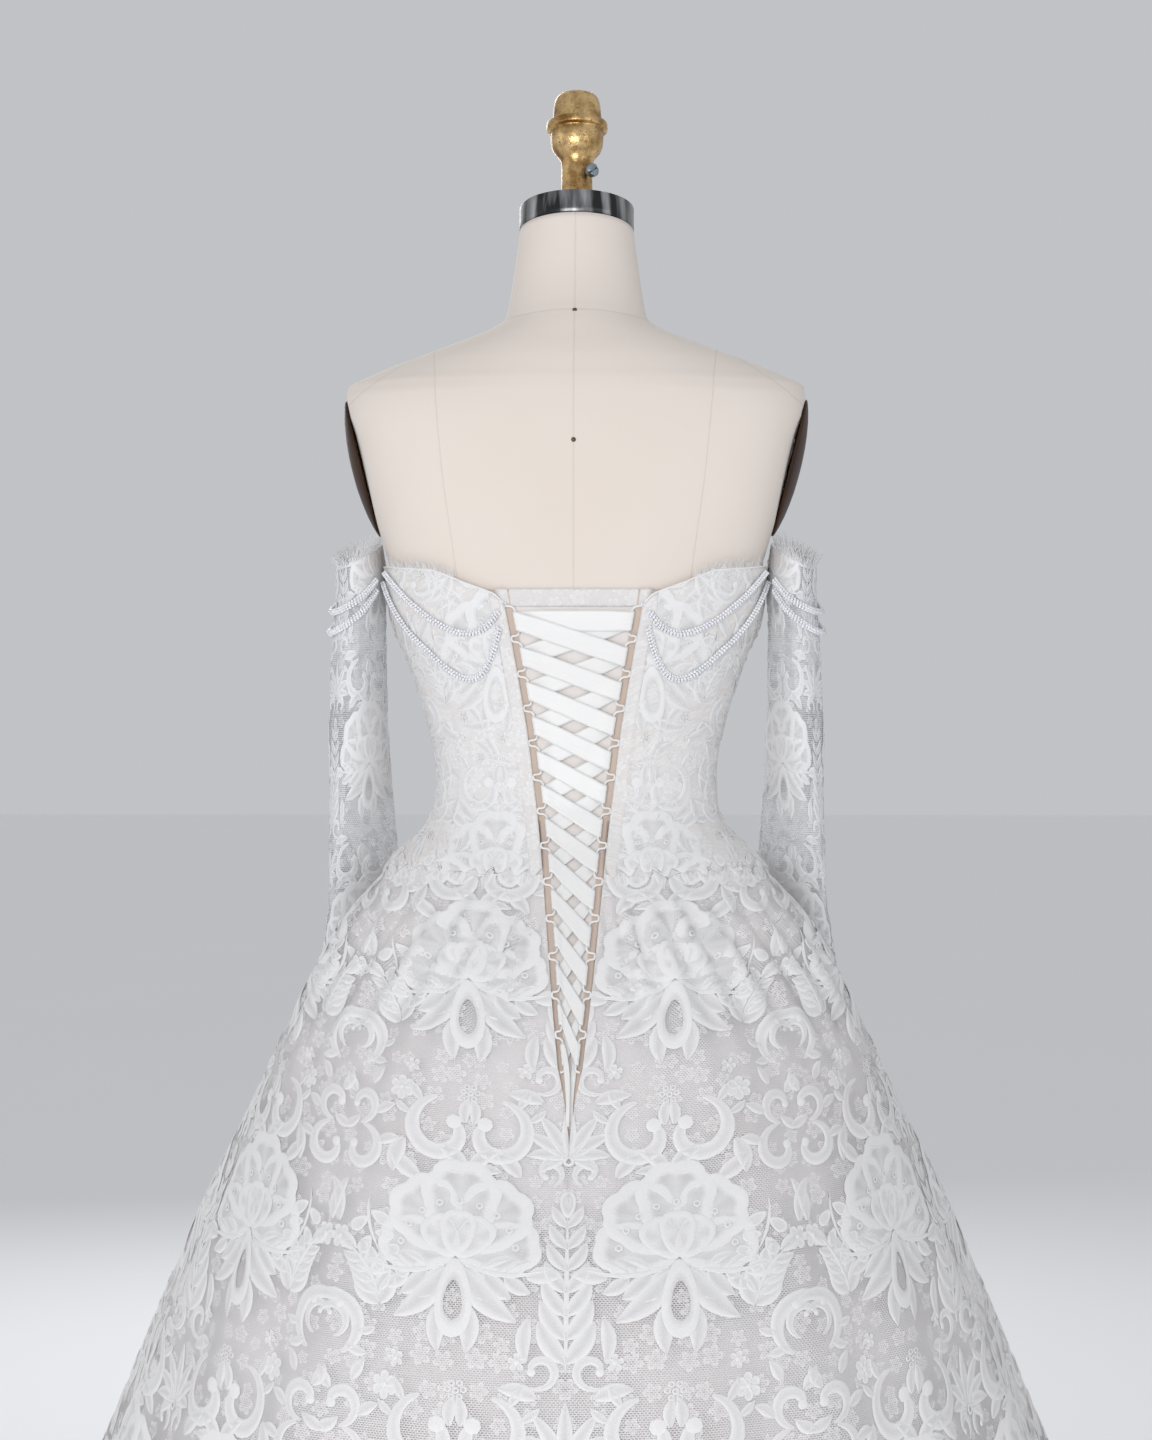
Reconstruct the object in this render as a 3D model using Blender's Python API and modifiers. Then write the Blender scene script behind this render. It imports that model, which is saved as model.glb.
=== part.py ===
"""A laced-back wedding dress standing on a limbless dress form.

Metres, +Z up, the origin on the floor under the middle of the stand's base. The back of the dress faces
+Y and its left half, seen from behind, is at +X.

Everything round the body is made on one surface, read from tables of sections. A place on it is a turn in
degrees round the body (0 at the centre back, 90 at +X, 180 at the centre front), a height, and a distance
out along the surface's own normal, so that layered pieces stay parallel and clear of each other.
"""

import math

import bmesh
import bpy
import numpy as np

MM = 0.001
GAP = 0.3 * MM
MIRROR = np.array([-1.0, 1.0, 1.0])

# The form's cover, from the neck cap down to its flat underside.
# height, half_width, centre_y, to_front, to_back, squareness
FORM_ROWS = (
    (1.5410, 0.0490, -0.030, 0.049, 0.049, 2.0),
    (1.5000, 0.0545, -0.026, 0.052, 0.053, 2.0),
    (1.4740, 0.0585, -0.020, 0.056, 0.060, 2.0),
    (1.4620, 0.0615, -0.015, 0.060, 0.065, 2.0),
    (1.4515, 0.0760, -0.012, 0.068, 0.070, 2.0),
    (1.4410, 0.1020, -0.010, 0.075, 0.075, 2.0),
    (1.4310, 0.1280, -0.008, 0.081, 0.080, 2.0),
    (1.4210, 0.1550, -0.006, 0.088, 0.084, 2.0),
    (1.4100, 0.1800, -0.005, 0.095, 0.088, 2.1),
    (1.4010, 0.1950, -0.004, 0.100, 0.091, 2.3),
    (1.3900, 0.1955, -0.004, 0.106, 0.094, 2.7),
    (1.3590, 0.1870, -0.003, 0.118, 0.099, 3.1),
    (1.3180, 0.1770, -0.002, 0.130, 0.101, 3.2),
    (1.2770, 0.1670, -0.001, 0.139, 0.098, 3.0),
    (1.2500, 0.1590, 0.000, 0.143, 0.095, 2.7),
    (1.2050, 0.1535, 0.000, 0.143, 0.091, 2.5),
    (1.1750, 0.1410, 0.000, 0.137, 0.086, 2.4),
    (1.1450, 0.1305, 0.000, 0.125, 0.081, 2.3),
    (1.1100, 0.1205, 0.000, 0.110, 0.078, 2.2),
    (1.0750, 0.1146, 0.000, 0.100, 0.076, 2.2),
    (1.0500, 0.1152, 0.000, 0.099, 0.078, 2.2),
    (1.0300, 0.1200, 0.000, 0.102, 0.082, 2.2),
    (1.0000, 0.1320, 0.000, 0.108, 0.092, 2.2),
    (0.9500, 0.1500, 0.000, 0.114, 0.106, 2.2),
    (0.9000, 0.1610, 0.000, 0.116, 0.115, 2.2),
    (0.8600, 0.1650, 0.000, 0.115, 0.118, 2.2),
    (0.8000, 0.1600, 0.000, 0.108, 0.112, 2.2),
)
# The underskirt's inner face, from just under the waist to the hem, in the same columns.
SKIRT_ROWS = (
    (1.0300, 0.1222, 0.000, 0.1045, 0.0840, 2.2),
    (1.0150, 0.1346, 0.000, 0.1120, 0.0900, 2.15),
    (1.0000, 0.1530, 0.000, 0.1230, 0.0990, 2.1),
    (0.9850, 0.1640, 0.000, 0.1330, 0.1090, 2.1),
    (0.9650, 0.1760, 0.000, 0.1450, 0.1220, 2.05),
    (0.9400, 0.1915, 0.000, 0.1610, 0.1410, 2.0),
    (0.9050, 0.2090, 0.000, 0.1830, 0.1680, 2.0),
    (0.8450, 0.2355, 0.000, 0.2170, 0.2130, 2.0),
    (0.7950, 0.2560, 0.000, 0.2425, 0.2475, 2.0),
    (0.7000, 0.2965, 0.000, 0.2870, 0.3080, 2.0),
    (0.5700, 0.3470, 0.000, 0.3450, 0.3800, 2.0),
    (0.4000, 0.4120, 0.000, 0.4150, 0.4530, 2.0),
    (0.2000, 0.4890, 0.000, 0.4930, 0.5340, 2.0),
    (0.0120, 0.5570, 0.000, 0.5600, 0.6020, 2.0),
)
FORM_SKIRT_JOIN = 1.040  # the dress follows the form's cover above this height
NECK_LEAN = math.radians(10)  # the neck's top faces forward by this much
LEAN_STARTS = 1.462

# The fullness of each breast, added to the cover and to the bodice over it.
BUST = dict(turn=147, height=1.212, rise=13 * MM, turn_spread=20, height_spread=0.042)

# How far out each layer's inner face lies from the form's cover, and how thick each wall is.
MODESTY_OUT, MODESTY_WALL = 0.0 * MM, 1.0 * MM
UNDERSKIRT_WALL = 1.0 * MM
LACE_OUT, LACE_WALL = 1.3 * MM, 1.2 * MM
BODICE_OUT, BODICE_WALL = 3.2 * MM, 1.5 * MM
LACE_EDGE_OUT = 3.4 * MM  # where the lace skirt carries the loops
LOOP_OUT, LOOP_RADIUS = 4.4 * MM, 1.0 * MM
RIBBON_WALL = 1.0 * MM
RIBBON_LAYER = 2.1 * MM  # from the loop cord's middle to the middle of each ribbon layer

# The waist's layers share these heights, so that their facets stay parallel.
SKIRT_HEIGHTS = tuple(row[0] for row in SKIRT_ROWS)
UNDERSKIRT_HEIGHTS = (1.03, 1.015, 1.0, 0.985, 0.965, 0.94, 0.905, 0.845, 0.795, 0.57, 0.2, 0.012)
BODICE_HEIGHTS = (1.0, 1.015, 1.03, 1.075, 1.11, 1.145, 1.175)
BODICE_BOTTOM, SCALLOP_REACH = 1.0, 0.985
BODICE_HALF_WIDTH, NECKLINE_MEAN = 0.15, 1.21
SCALLOPS = 52  # of the lace edge round the whole waist
SCALLOP_LEAST, SCALLOP_DEEPEST = 0.25, 0.90  # as shares of the way down to its reach

# Half the width of the back opening. height, half_width
OPENING_ROWS = (
    (0.795, 0.5 * GAP),
    (0.825, 4.5 * MM),
    (0.845, 9.5 * MM),
    (0.905, 16.5 * MM),
    (1.030, 28.5 * MM),
    (1.110, 38.0 * MM),
    (1.175, 49.0 * MM),
    (1.230, 59.5 * MM),
)
OPENING_TIP = 0.795

# The bodice's top edge. turn, height
NECKLINE = (
    (0, 1.2130),
    (32, 1.2140),
    (36, 1.2230),
    (46, 1.2320),
    (56, 1.2430),
    (75, 1.2480),
    (105, 1.2520),
    (130, 1.2640),
    (148, 1.2680),
    (168, 1.2560),
    (180, 1.2480),
)
SIDE_BACK_SEAM, SIDE_SEAM, SIDE_FRONT_SEAM = 44, 90, 146
SKIRT_SIDE_SEAM = 96

# How far the lace skirt stands off the underskirt. height, distance
STAND_OFF = (
    (0.012, 25.0 * MM),
    (0.400, 23.0 * MM),
    (0.700, 19.0 * MM),
    (0.845, 14.0 * MM),
    (0.905, 11.0 * MM),
    (0.940, 8.0 * MM),
    (0.965, 5.5 * MM),
    (0.985, LACE_OUT),
    (1.030, LACE_OUT),
)

# Soft folds of the skirt, on each half. turn, half_angle, rise_at_hem, starts_at
FOLDS = (
    (13, 5.0, 16 * MM, 0.74),
    (30, 5.5, 24 * MM, 0.90),
    (47, 5.0, 18 * MM, 0.94),
    (64, 6.0, 26 * MM, 0.92),
    (82, 5.0, 16 * MM, 0.95),
    (99, 5.5, 22 * MM, 0.93),
    (117, 6.0, 26 * MM, 0.90),
    (135, 5.0, 18 * MM, 0.94),
    (152, 5.5, 24 * MM, 0.92),
    (170, 5.0, 18 * MM, 0.90),
)
GATHER = dict(depth=1.4 * MM, height=0.945, spread=0.028, clear_turn=26)

# The lacing.
LOOPS, FIRST_LOOP, LOOP_PITCH = 13, 1.200, 28.8 * MM
LOOP_HALF_HEIGHT, LOOP_REACH, LEAST_REACH = 12.5 * MM, 6.4 * MM, 4.4 * MM
# A loop's outline: share of its half height, share of its reach
LOOP_SHAPE = ((1.0, 0.0), (0.9, 0.7), (0.7, 1.0), (-0.7, 1.0), (-0.9, 0.7), (-1.0, 0.0))
RIBBON_WIDTH, RIBBON_GATHERED = 18.8 * MM, 16.6 * MM
RIBBON_CORNERS = ((-1, -1), (1, -1), (1, 1), (-1, 1))  # edge and layer of each corner of a section
TAIL_END = 0.803
WIDE_STRIP = 20 * MM  # half the width from which a strip has one more section

# The left sleeve. height, x, y, half_thin, half_deep, swing
SLEEVE_ROWS = (
    (1.2600, 0.1862, -0.008, 0.0176, 0.0600, 0),
    (1.2300, 0.1844, -0.008, 0.0200, 0.0605, 0),
    (1.1950, 0.1862, -0.010, 0.0205, 0.0600, 2),
    (1.1500, 0.1875, -0.016, 0.0212, 0.0575, 4),
    (1.0950, 0.1880, -0.026, 0.0220, 0.0555, 7),
    (1.0400, 0.1875, -0.042, 0.0215, 0.0530, 13),
    (1.0000, 0.1870, -0.062, 0.0205, 0.0500, 22),
    (0.9600, 0.1870, -0.094, 0.0190, 0.0480, 34),
    (0.9200, 0.1915, -0.125, 0.0185, 0.0470, 42),
    (0.8750, 0.2010, -0.153, 0.0180, 0.0460, 46),
    (0.8250, 0.2155, -0.177, 0.0180, 0.0450, 48),
    (0.7400, 0.2430, -0.209, 0.0175, 0.0440, 49),
)
SLEEVE_WALL = 1.2 * MM
SLEEVE_FACET = 22.5  # degrees round it
SLEEVE_TOP_RISE_FORWARD = 0.16  # the opening's front edge is higher than its back edge
SLEEVE_TOP_DROP_OUTWARD = 0.45

SWAG_RADIUS = 2.8 * MM
# Bead swags on each half of the back. name, start turn, start height, end x, end height, drop
BACK_SWAGS = (
    ("upper", 77, 1.2430, 0.0610, 1.2080, 0.029),
    ("lower", 81, 1.2350, 0.0600, 1.1960, 0.057),
)
# Bead swags round each sleeve. name, height at its ends, drop
SLEEVE_SWAGS = (("upper", 1.2350, 0.018), ("lower", 1.2265, 0.032))
SLEEVE_SWAG_ENDS = (135, -67.5)  # degrees round it, whole facets apart
SWAG_SKEW, SLEEVE_SWAG_SKEW = 1.35, 1.0  # above 1, it hangs deepest past its middle
LASH = dict(length=8 * MM, lean=2.5 * MM, strip=3.2 * MM, wall=1.0 * MM)

POLE_RADIUS, BASE_RADIUS = 17.5 * MM, 190 * MM
CAP_RADIUS, CAP_HEIGHT = 49.5 * MM, 20 * MM
PLATE = dict(height=0.120, width=0.080, edge=2 * MM, crown=10.5 * MM, x=0.1814, z=1.3335, slope=0.25)

COVER, DRESS_WHITE, NET_WHITE = (0.78, 0.71, 0.62), (0.86, 0.85, 0.84), (0.72, 0.71, 0.73)
NUDE, SATIN, BEADS = (0.72, 0.66, 0.60), (0.90, 0.90, 0.89), (0.74, 0.75, 0.77)
BRASS, STEEL, ZINC, BROWN, BLACK_METAL = (
    (0.56, 0.36, 0.14),
    (0.42, 0.42, 0.42),
    (0.34, 0.38, 0.42),
    (0.06, 0.035, 0.018),
    (0.03, 0.03, 0.032),
)


def clear_scene():
    for thing in list(bpy.data.objects):
        bpy.data.objects.remove(thing, do_unlink=True)


def collection_named(name):
    group = bpy.data.collections.new(name)
    bpy.context.scene.collection.children.link(group)
    return group


def paint(thing, colour, roughness, metallic=0.0):
    material = bpy.data.materials.new(f"{thing.name}_finish")
    material.use_nodes = True
    shader = material.node_tree.nodes["Principled BSDF"]
    shader.inputs["Base Color"].default_value = (*colour, 1.0)
    shader.inputs["Roughness"].default_value = roughness
    shader.inputs["Metallic"].default_value = metallic
    thing.data.materials.append(material)
    return thing


def add(name, data, group):
    thing = bpy.data.objects.new(name, data)
    group.objects.link(thing)
    return thing


# Tables and the surface they give


def steps_between(rows, at):
    """The columns of a short table, read on straight lines between its rows."""
    table = np.array(sorted(rows), float)
    return np.interp(at, table[:, 0], table[:, 1])


def smooth_columns(rows, at):
    """Every column of a table at the heights asked for, on a monotone cubic through its rows."""
    table = np.array(sorted(rows), float)
    knots, values = table[:, 0], table[:, 1:]
    widths = np.diff(knots)[:, None]
    slopes = np.diff(values, axis=0) / widths
    before, after = slopes[:-1], slopes[1:]
    mean = np.where(before * after > 0, 2 * before * after / (before + after + 1e-12), 0.0)
    tangents = np.concatenate([slopes[:1], mean, slopes[-1:]])
    at = np.clip(np.asarray(at, float), knots[0], knots[-1])
    left = np.clip(np.searchsorted(knots, at, side="right") - 1, 0, len(knots) - 2)
    width = widths[left]
    part = ((at - knots[left])[..., None]) / width
    return (
        (1 + 2 * part) * (1 - part) ** 2 * values[left]
        + part * (1 - part) ** 2 * width * tangents[left]
        + part**2 * (3 - 2 * part) * values[left + 1]
        + part**2 * (part - 1) * width * tangents[left + 1]
    )


def folded_turn(turn):
    """A turn as an angle of 0 to 180 degrees from the centre back, the same on both halves."""
    return np.abs((np.asarray(turn, float) + 180) % 360 - 180)


def bust_rise(turn, height):
    away = (folded_turn(turn) - BUST["turn"]) / BUST["turn_spread"]
    up = (height - BUST["height"]) / BUST["height_spread"]
    return BUST["rise"] * np.exp(-(away**2) - up**2)


def fold_rise(turn, height):
    rise = np.zeros(np.broadcast(turn, height).shape)
    for at, half_angle, hem_rise, starts in FOLDS:
        grown = np.clip((starts - height) / starts, 0, 1) ** 1.2
        rise = rise + hem_rise * grown * np.exp(-(((folded_turn(turn) - at) / half_angle) ** 2))
    return rise


def on_sections(rows, turn, height, extra):
    """Points on the surface that a table of sections gives, moved out from its axis by extra."""
    width, centre, front, back, square = np.moveaxis(smooth_columns(rows, height), -1, 0)
    angle = np.radians(turn)
    across, along = np.sin(angle), np.cos(angle)
    depth = np.where(along < 0, front, back)
    reach = (np.abs(across / width) ** square + np.abs(along / depth) ** square) ** (-1 / square)
    reach = reach + extra
    return np.stack([reach * across, centre + reach * along, height + 0 * reach], axis=-1)


def form_point(turn, height):
    turn, height = np.broadcast_arrays(np.asarray(turn, float), np.asarray(height, float))
    return on_sections(FORM_ROWS, turn, height, bust_rise(turn, height))


DRESS_ROWS = tuple(
    (height, width + GAP, centre, front + GAP, back + GAP, square)
    for height, width, centre, front, back, square in FORM_ROWS
    if FORM_SKIRT_JOIN < height < 1.3
) + SKIRT_ROWS


def dress_point(turn, height):
    turn, height = np.broadcast_arrays(np.asarray(turn, float), np.asarray(height, float))
    return on_sections(DRESS_ROWS, turn, height, bust_rise(turn, height) + fold_rise(turn, height))


def dress_out(turn, height, out):
    """A point moved out from the dress's base surface along that surface's normal."""
    turn, height = np.broadcast_arrays(np.asarray(turn, float), np.asarray(height, float))
    small_turn, small_height = 0.5, 1 * MM
    up = dress_point(turn, height + small_height) - dress_point(turn, height - small_height)
    round_body = dress_point(turn + small_turn, height) - dress_point(turn - small_turn, height)
    normal = np.cross(up, round_body)
    normal /= np.linalg.norm(normal, axis=-1, keepdims=True)
    return dress_point(turn, height) + normal * np.asarray(out, float)[..., None]


def turn_at(across, height):
    """The turn, on the back, of the point of the dress's base surface at this distance across."""
    turn = np.zeros(np.broadcast(across, height).shape)
    for _ in range(12):
        here = dress_point(turn, height)
        reach = np.hypot(here[..., 0], here[..., 1])
        turn = np.degrees(np.arcsin(np.clip(across / reach, -1, 1)))
    return turn


def back_out(across, height, out):
    return dress_out(turn_at(across, height), height, out)


def opening(height):
    return steps_between(OPENING_ROWS, height)


def smooth_step(value, low, high):
    part = np.clip((value - low) / (high - low), 0, 1)
    return part * part * (3 - 2 * part)


def lace_out(turn, height):
    """How far out the lace skirt's inner face lies: close at the opening, full at the sides and front."""
    full = steps_between(STAND_OFF, height)
    at_edge = LACE_OUT + (LACE_EDGE_OUT - LACE_OUT) * smooth_step(0.985 - height, 0, 0.02)
    at_edge = at_edge + (full - at_edge) * smooth_step(OPENING_TIP - height, 0, 0.12)
    return at_edge + (full - at_edge) * smooth_step(folded_turn(turn), 8, 34)


# Solids


def mesh_from(name, points, faces, group):
    mesh = bpy.data.meshes.new(name)
    mesh.from_pydata([tuple(p) for p in points], [], faces)
    mesh.update()
    return add(name, mesh, group)


def cloth_wall(name, grid, thickness, group, tube=False):
    """A wall on a grid of points, rows from the bottom up, each row running on with the turn.

    The grid is the wall's inner face, and the thickness goes outward from it.
    """
    rows, columns = grid.shape[:2]
    faces = []
    for row in range(rows - 1):
        for column in range(columns if tube else columns - 1):
            following = (column + 1) % columns
            low, high = row * columns, (row + 1) * columns
            faces.append((low + column, high + column, high + following, low + following))
    thing = mesh_from(name, grid.reshape(-1, 3), faces, group)
    wall = thing.modifiers.new("wall", "SOLIDIFY")
    wall.thickness = thickness
    wall.offset = 1.0
    thing.data.shade_smooth()
    return thing


def loft(name, rings, group):
    """A closed solid through rings of points, each ring running on the same way round."""
    count = len(rings[0])
    points = np.concatenate(rings)
    faces = [tuple(range(count)), tuple(len(points) - 1 - i for i in range(count))]
    for ring in range(len(rings) - 1):
        for i in range(count):
            j = (i + 1) % count
            low, high = ring * count, (ring + 1) * count
            faces.append((low + i, high + i, high + j, low + j))
    return mesh_from(name, points, faces, group)


def tube(name, path, radius, sides_step, group):
    curve = bpy.data.curves.new(name, "CURVE")
    curve.dimensions = "3D"
    curve.bevel_depth = radius
    curve.bevel_resolution = sides_step
    curve.use_fill_caps = True
    line = curve.splines.new("POLY")
    line.points.add(len(path) - 1)
    for point, place in zip(line.points, path):
        point.co = (*place, 1.0)
    return add(name, curve, group)


def turned(name, profile, steps, group):
    """A turned piece: a profile of radius and height, from its top down, swept round Z."""
    mesh = bpy.data.meshes.new(name)
    points = [(radius, 0.0, height) for radius, height in profile]
    mesh.from_pydata(points, [(i, i + 1) for i in range(len(points) - 1)], [])
    thing = add(name, mesh, group)
    screw = thing.modifiers.new("turned", "SCREW")
    screw.steps = screw.render_steps = steps
    screw.use_merge_vertices = True
    screw.merge_threshold = 0.00001
    return thing


def mirrored(grid):
    """The same grid on the other half, its rows still running on with the turn."""
    return grid[:, ::-1] * MIRROR


# The dress form


def form_rings():
    turns = np.arange(0, 360, 360 / 28)
    rings = []
    for row in sorted(FORM_ROWS):
        ring = form_point(turns, np.full(len(turns), row[0]))
        lean = np.clip((row[0] - LEAN_STARTS) / (FORM_ROWS[0][0] - LEAN_STARTS), 0, 1)
        ring[:, 2] += lean * math.tan(NECK_LEAN) * (ring[:, 1] - row[2])
        rings.append(ring)
    return rings


def make_form(group):
    torso = loft("form_torso", form_rings(), group)
    torso.data.shade_smooth()
    paint(torso, COVER, 0.8)

    radius, edge, crown = PLATE["height"] / 2, PLATE["edge"], PLATE["crown"]
    dome = (
        (0, crown),
        (0.70 * radius, edge + 0.56 * (crown - edge)),
        (radius, edge),
        (radius, 0),
        (0, 0),
    )
    for side, sign in (("left", 1), ("right", -1)):
        plate = turned(f"form_arm_plate_{side}", dome, 14, group)
        plate.location = (sign * PLATE["x"], -0.003, PLATE["z"])
        plate.rotation_euler = (0, sign * (math.pi / 2 + math.atan(PLATE["slope"])), 0)
        plate.scale = (1, PLATE["width"] / PLATE["height"], 1)
        paint(plate, BROWN, 0.45)

    neck_top, neck_y = FORM_ROWS[0][0], FORM_ROWS[0][2]
    seat = bpy.data.objects.new("neck_seat", None)
    group.objects.link(seat)
    seat.location = (0, neck_y, neck_top)
    seat.rotation_euler = (NECK_LEAN, 0, 0)

    chamfer = 0.8 * MM
    cap_profile = (
        (0, GAP + CAP_HEIGHT),
        (CAP_RADIUS - chamfer, GAP + CAP_HEIGHT),
        (CAP_RADIUS, GAP + CAP_HEIGHT - chamfer),
        (CAP_RADIUS, GAP),
        (0, GAP),
    )
    cap = turned("form_neck_cap", cap_profile, 28, group)
    cap.parent = seat
    paint(cap, STEEL, 0.3, 1.0)

    # radius and height above the cap, in millimetres
    finial_outline = (
        (0, 103),
        (15.5, 103),
        (19.5, 98),
        (21.0, 82),
        (21.0, 78.5),
        (26.5, 77),
        (26.5, 71.5),
        (22.5, 70),
        (22.5, 60),
        (20.0, 51),
        (14.5, 44),
        (13.4, 40),
        (13.4, 10),
        (15.5, 9),
        (15.5, 0),
        (0, 0),
    )
    seat_height = 2 * GAP + CAP_HEIGHT
    finial = turned("form_finial", [(r * MM, seat_height + h * MM) for r, h in finial_outline], 16, group)
    finial.parent = seat
    paint(finial, BRASS, 0.35, 1.0)

    collar_radius, screw_height = 13.4 * MM, 29.5 * MM
    head_radius, head_height, shank_radius, shank_length = 6 * MM, 5 * MM, 3 * MM, 4 * MM
    screw_profile = (
        (0, shank_length + head_height),
        (head_radius - 0.8 * MM, shank_length + head_height),
        (head_radius, shank_length + head_height - 0.8 * MM),
        (head_radius, shank_length),
        (shank_radius, shank_length),
        (shank_radius, 0),
        (0, 0),
    )
    screw = turned("form_set_screw", screw_profile, 14, group)
    slot_mesh = bpy.data.meshes.new("screw_slot")
    cutters = collection_named("cutters")
    slot = add("screw_slot", slot_mesh, cutters)
    block = bmesh.new()
    bmesh.ops.create_cube(block, size=1.0)
    bmesh.ops.scale(block, vec=(1.2 * MM, 4 * head_radius, 3 * MM), verts=block.verts)
    block.to_mesh(slot_mesh)
    block.free()
    slot.location = (0, 0, shank_length + head_height)
    slot.parent = screw
    slot.hide_render = True
    slot.display_type = "WIRE"
    cut = screw.modifiers.new("slot", "BOOLEAN")
    cut.object = slot
    cut.operation = "DIFFERENCE"
    screw.parent = seat
    out_turn = math.radians(-42)
    out_x, out_y = math.sin(out_turn), math.cos(out_turn)
    start = collar_radius + GAP
    screw.location = (start * out_x, start * out_y, seat_height + screw_height)
    screw.rotation_euler = (0, math.pi / 2, math.atan2(out_y, out_x))
    paint(screw, ZINC, 0.4, 1.0)

    base_profile = (
        (0, 0.030),
        (0.028, 0.030),
        (0.034, 0.017),
        (BASE_RADIUS - 0.015, 0.013),
        (BASE_RADIUS, 0.008),
        (BASE_RADIUS, 0),
        (0, 0),
    )
    base = turned("form_base", base_profile, 28, group)
    paint(base, BLACK_METAL, 0.5, 0.8)
    pole_profile = (
        (0, FORM_ROWS[-1][0] - GAP),
        (POLE_RADIUS, FORM_ROWS[-1][0] - GAP),
        (POLE_RADIUS, 0.030 + GAP),
        (0, 0.030 + GAP),
    )
    pole = turned("form_pole", pole_profile, 16, group)
    paint(pole, STEEL, 0.35, 1.0)


# The bodice


def neckline(turn):
    return steps_between(NECKLINE, folded_turn(turn))


def bodice_grid(first_turn, last_turn, columns):
    """A panel between two seams; a seam is a turn, or None where the panel ends at the back opening."""
    seam_turn = np.degrees(0.5 * GAP / BODICE_HALF_WIDTH)
    shares = np.linspace(0, 1, columns)
    heights = np.array(BODICE_HEIGHTS)[:, None] + np.zeros((1, columns))

    def turns_at(height):
        start = turn_at(opening(height), height) if first_turn is None else first_turn + seam_turn
        return start + (last_turn - seam_turn - start) * shares

    rows = []
    edge_turns = turns_at(np.full(columns, BODICE_BOTTOM))
    upper = dress_out(edge_turns, BODICE_BOTTOM, BODICE_OUT)
    lower = dress_out(edge_turns, SCALLOP_REACH, BODICE_OUT)
    wave = np.abs(np.sin(np.radians(edge_turns * SCALLOPS / 2)))
    dip = SCALLOP_LEAST + (SCALLOP_DEEPEST - SCALLOP_LEAST) * wave
    rows.append(upper + (lower - upper) * dip[:, None])
    for height in heights:
        rows.append(dress_out(turns_at(height), height, BODICE_OUT))
    top_turns = turns_at(np.full(columns, NECKLINE_MEAN))
    top = neckline(top_turns)
    for share in (1 / 3, 2 / 3, 1):
        height = BODICE_HEIGHTS[-1] + (top - BODICE_HEIGHTS[-1]) * share
        rows.append(dress_out(turns_at(height), height, BODICE_OUT))
    return np.stack(rows)


def make_bodice(group):
    panels = (
        ("bodice_back", None, SIDE_BACK_SEAM, 6),
        ("bodice_side_back", SIDE_BACK_SEAM, SIDE_SEAM, 8),
        ("bodice_side_front", SIDE_SEAM, SIDE_FRONT_SEAM, 9),
    )
    for name, first, last, columns in panels:
        grid = bodice_grid(first, last, columns)
        for side, points in (("left", grid), ("right", mirrored(grid))):
            paint(cloth_wall(f"{name}_{side}", points, BODICE_WALL, group), DRESS_WHITE, 0.8)
    grid = bodice_grid(SIDE_FRONT_SEAM, 360 - SIDE_FRONT_SEAM, 11)
    paint(cloth_wall("bodice_centre_front", grid, BODICE_WALL, group), DRESS_WHITE, 0.8)


def make_modesty_panel(group):
    """The panel behind the lacing: under the bodice's edges above the waist, set into the opening below."""
    lap, raise_in, raise_out, high = 14 * MM, 5.0 * MM, 1.0 * MM, 1.7 * MM
    side_clear = 0.4 * MM
    rows = []
    heights = (0.806, 0.825, 0.845, 0.875, 0.905, 0.94, 0.965, 0.985, 1.0, 1.015, 1.0335)
    for height in heights:
        half = opening(height) - side_clear
        across = half * np.array([-1, -0.8, -0.5, -0.2, 0.2, 0.5, 0.8, 1])
        rows.append(back_out(across, np.full(8, height), np.full(8, MODESTY_OUT)))
    for height in (1.05, 1.075, 1.11, 1.145, 1.175, 1.205, 1.2255):
        half = opening(height)
        raised = np.array([half + lap, half + raise_out, half - raise_in, (half - raise_in) / 3])
        across = np.concatenate([-raised, raised[::-1]])
        outs = np.array([high, high, 0, 0, 0, 0, high, high])
        rows.append(back_out(across, np.full(8, height), outs))
    grid = np.stack(rows)
    paint(cloth_wall("modesty_panel", grid, MODESTY_WALL, group), NUDE, 0.8)


# The lacing


def loop_height(number):
    return FIRST_LOOP - number * LOOP_PITCH


def loop_reach(number):
    return max(LEAST_REACH, min(LOOP_REACH, 0.34 * opening(loop_height(number))))


def loop_line(height):
    """The distance across of the loop cord where it runs along the edge."""
    return opening(height) - GAP - LOOP_RADIUS


def make_loops(group):
    places = [(loop_line(FIRST_LOOP + 0.015), FIRST_LOOP + 0.015)]
    for number in range(LOOPS):
        for up, out in LOOP_SHAPE:
            height = loop_height(number) + up * LOOP_HALF_HEIGHT
            places.append((loop_line(height) - out * loop_reach(number), height))
    across, height = np.array(places).T
    path = back_out(across, height, np.full(len(across), LOOP_OUT))
    for side, sign in (("left", 1), ("right", -1)):
        cord = tube(f"lacing_loops_{side}", path * (sign, 1, 1), LOOP_RADIUS, 0, group)
        paint(cord, SATIN, 0.5)


def fold_across(number, up=0.0):
    """The distance across of the middle of the cord that the ribbon folds round, this far up its loop."""
    return loop_line(loop_height(number) + up) - loop_reach(number)


def ribbon_ring(corners):
    """Four corners of a ribbon section, each given as across, height and out."""
    table = np.array(corners)
    return back_out(table[:, 0], table[:, 1], table[:, 2])


def flat_section(across, height, out, half_across, half_up, facing):
    """A section where the ribbon lies flat; facing is 1 where its first side looks out."""
    corners = [
        (across + edge * half_across, height + edge * half_up, out + facing * layer * RIBBON_WALL / 2)
        for edge, layer in RIBBON_CORNERS
    ]
    return ribbon_ring(corners)


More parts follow.
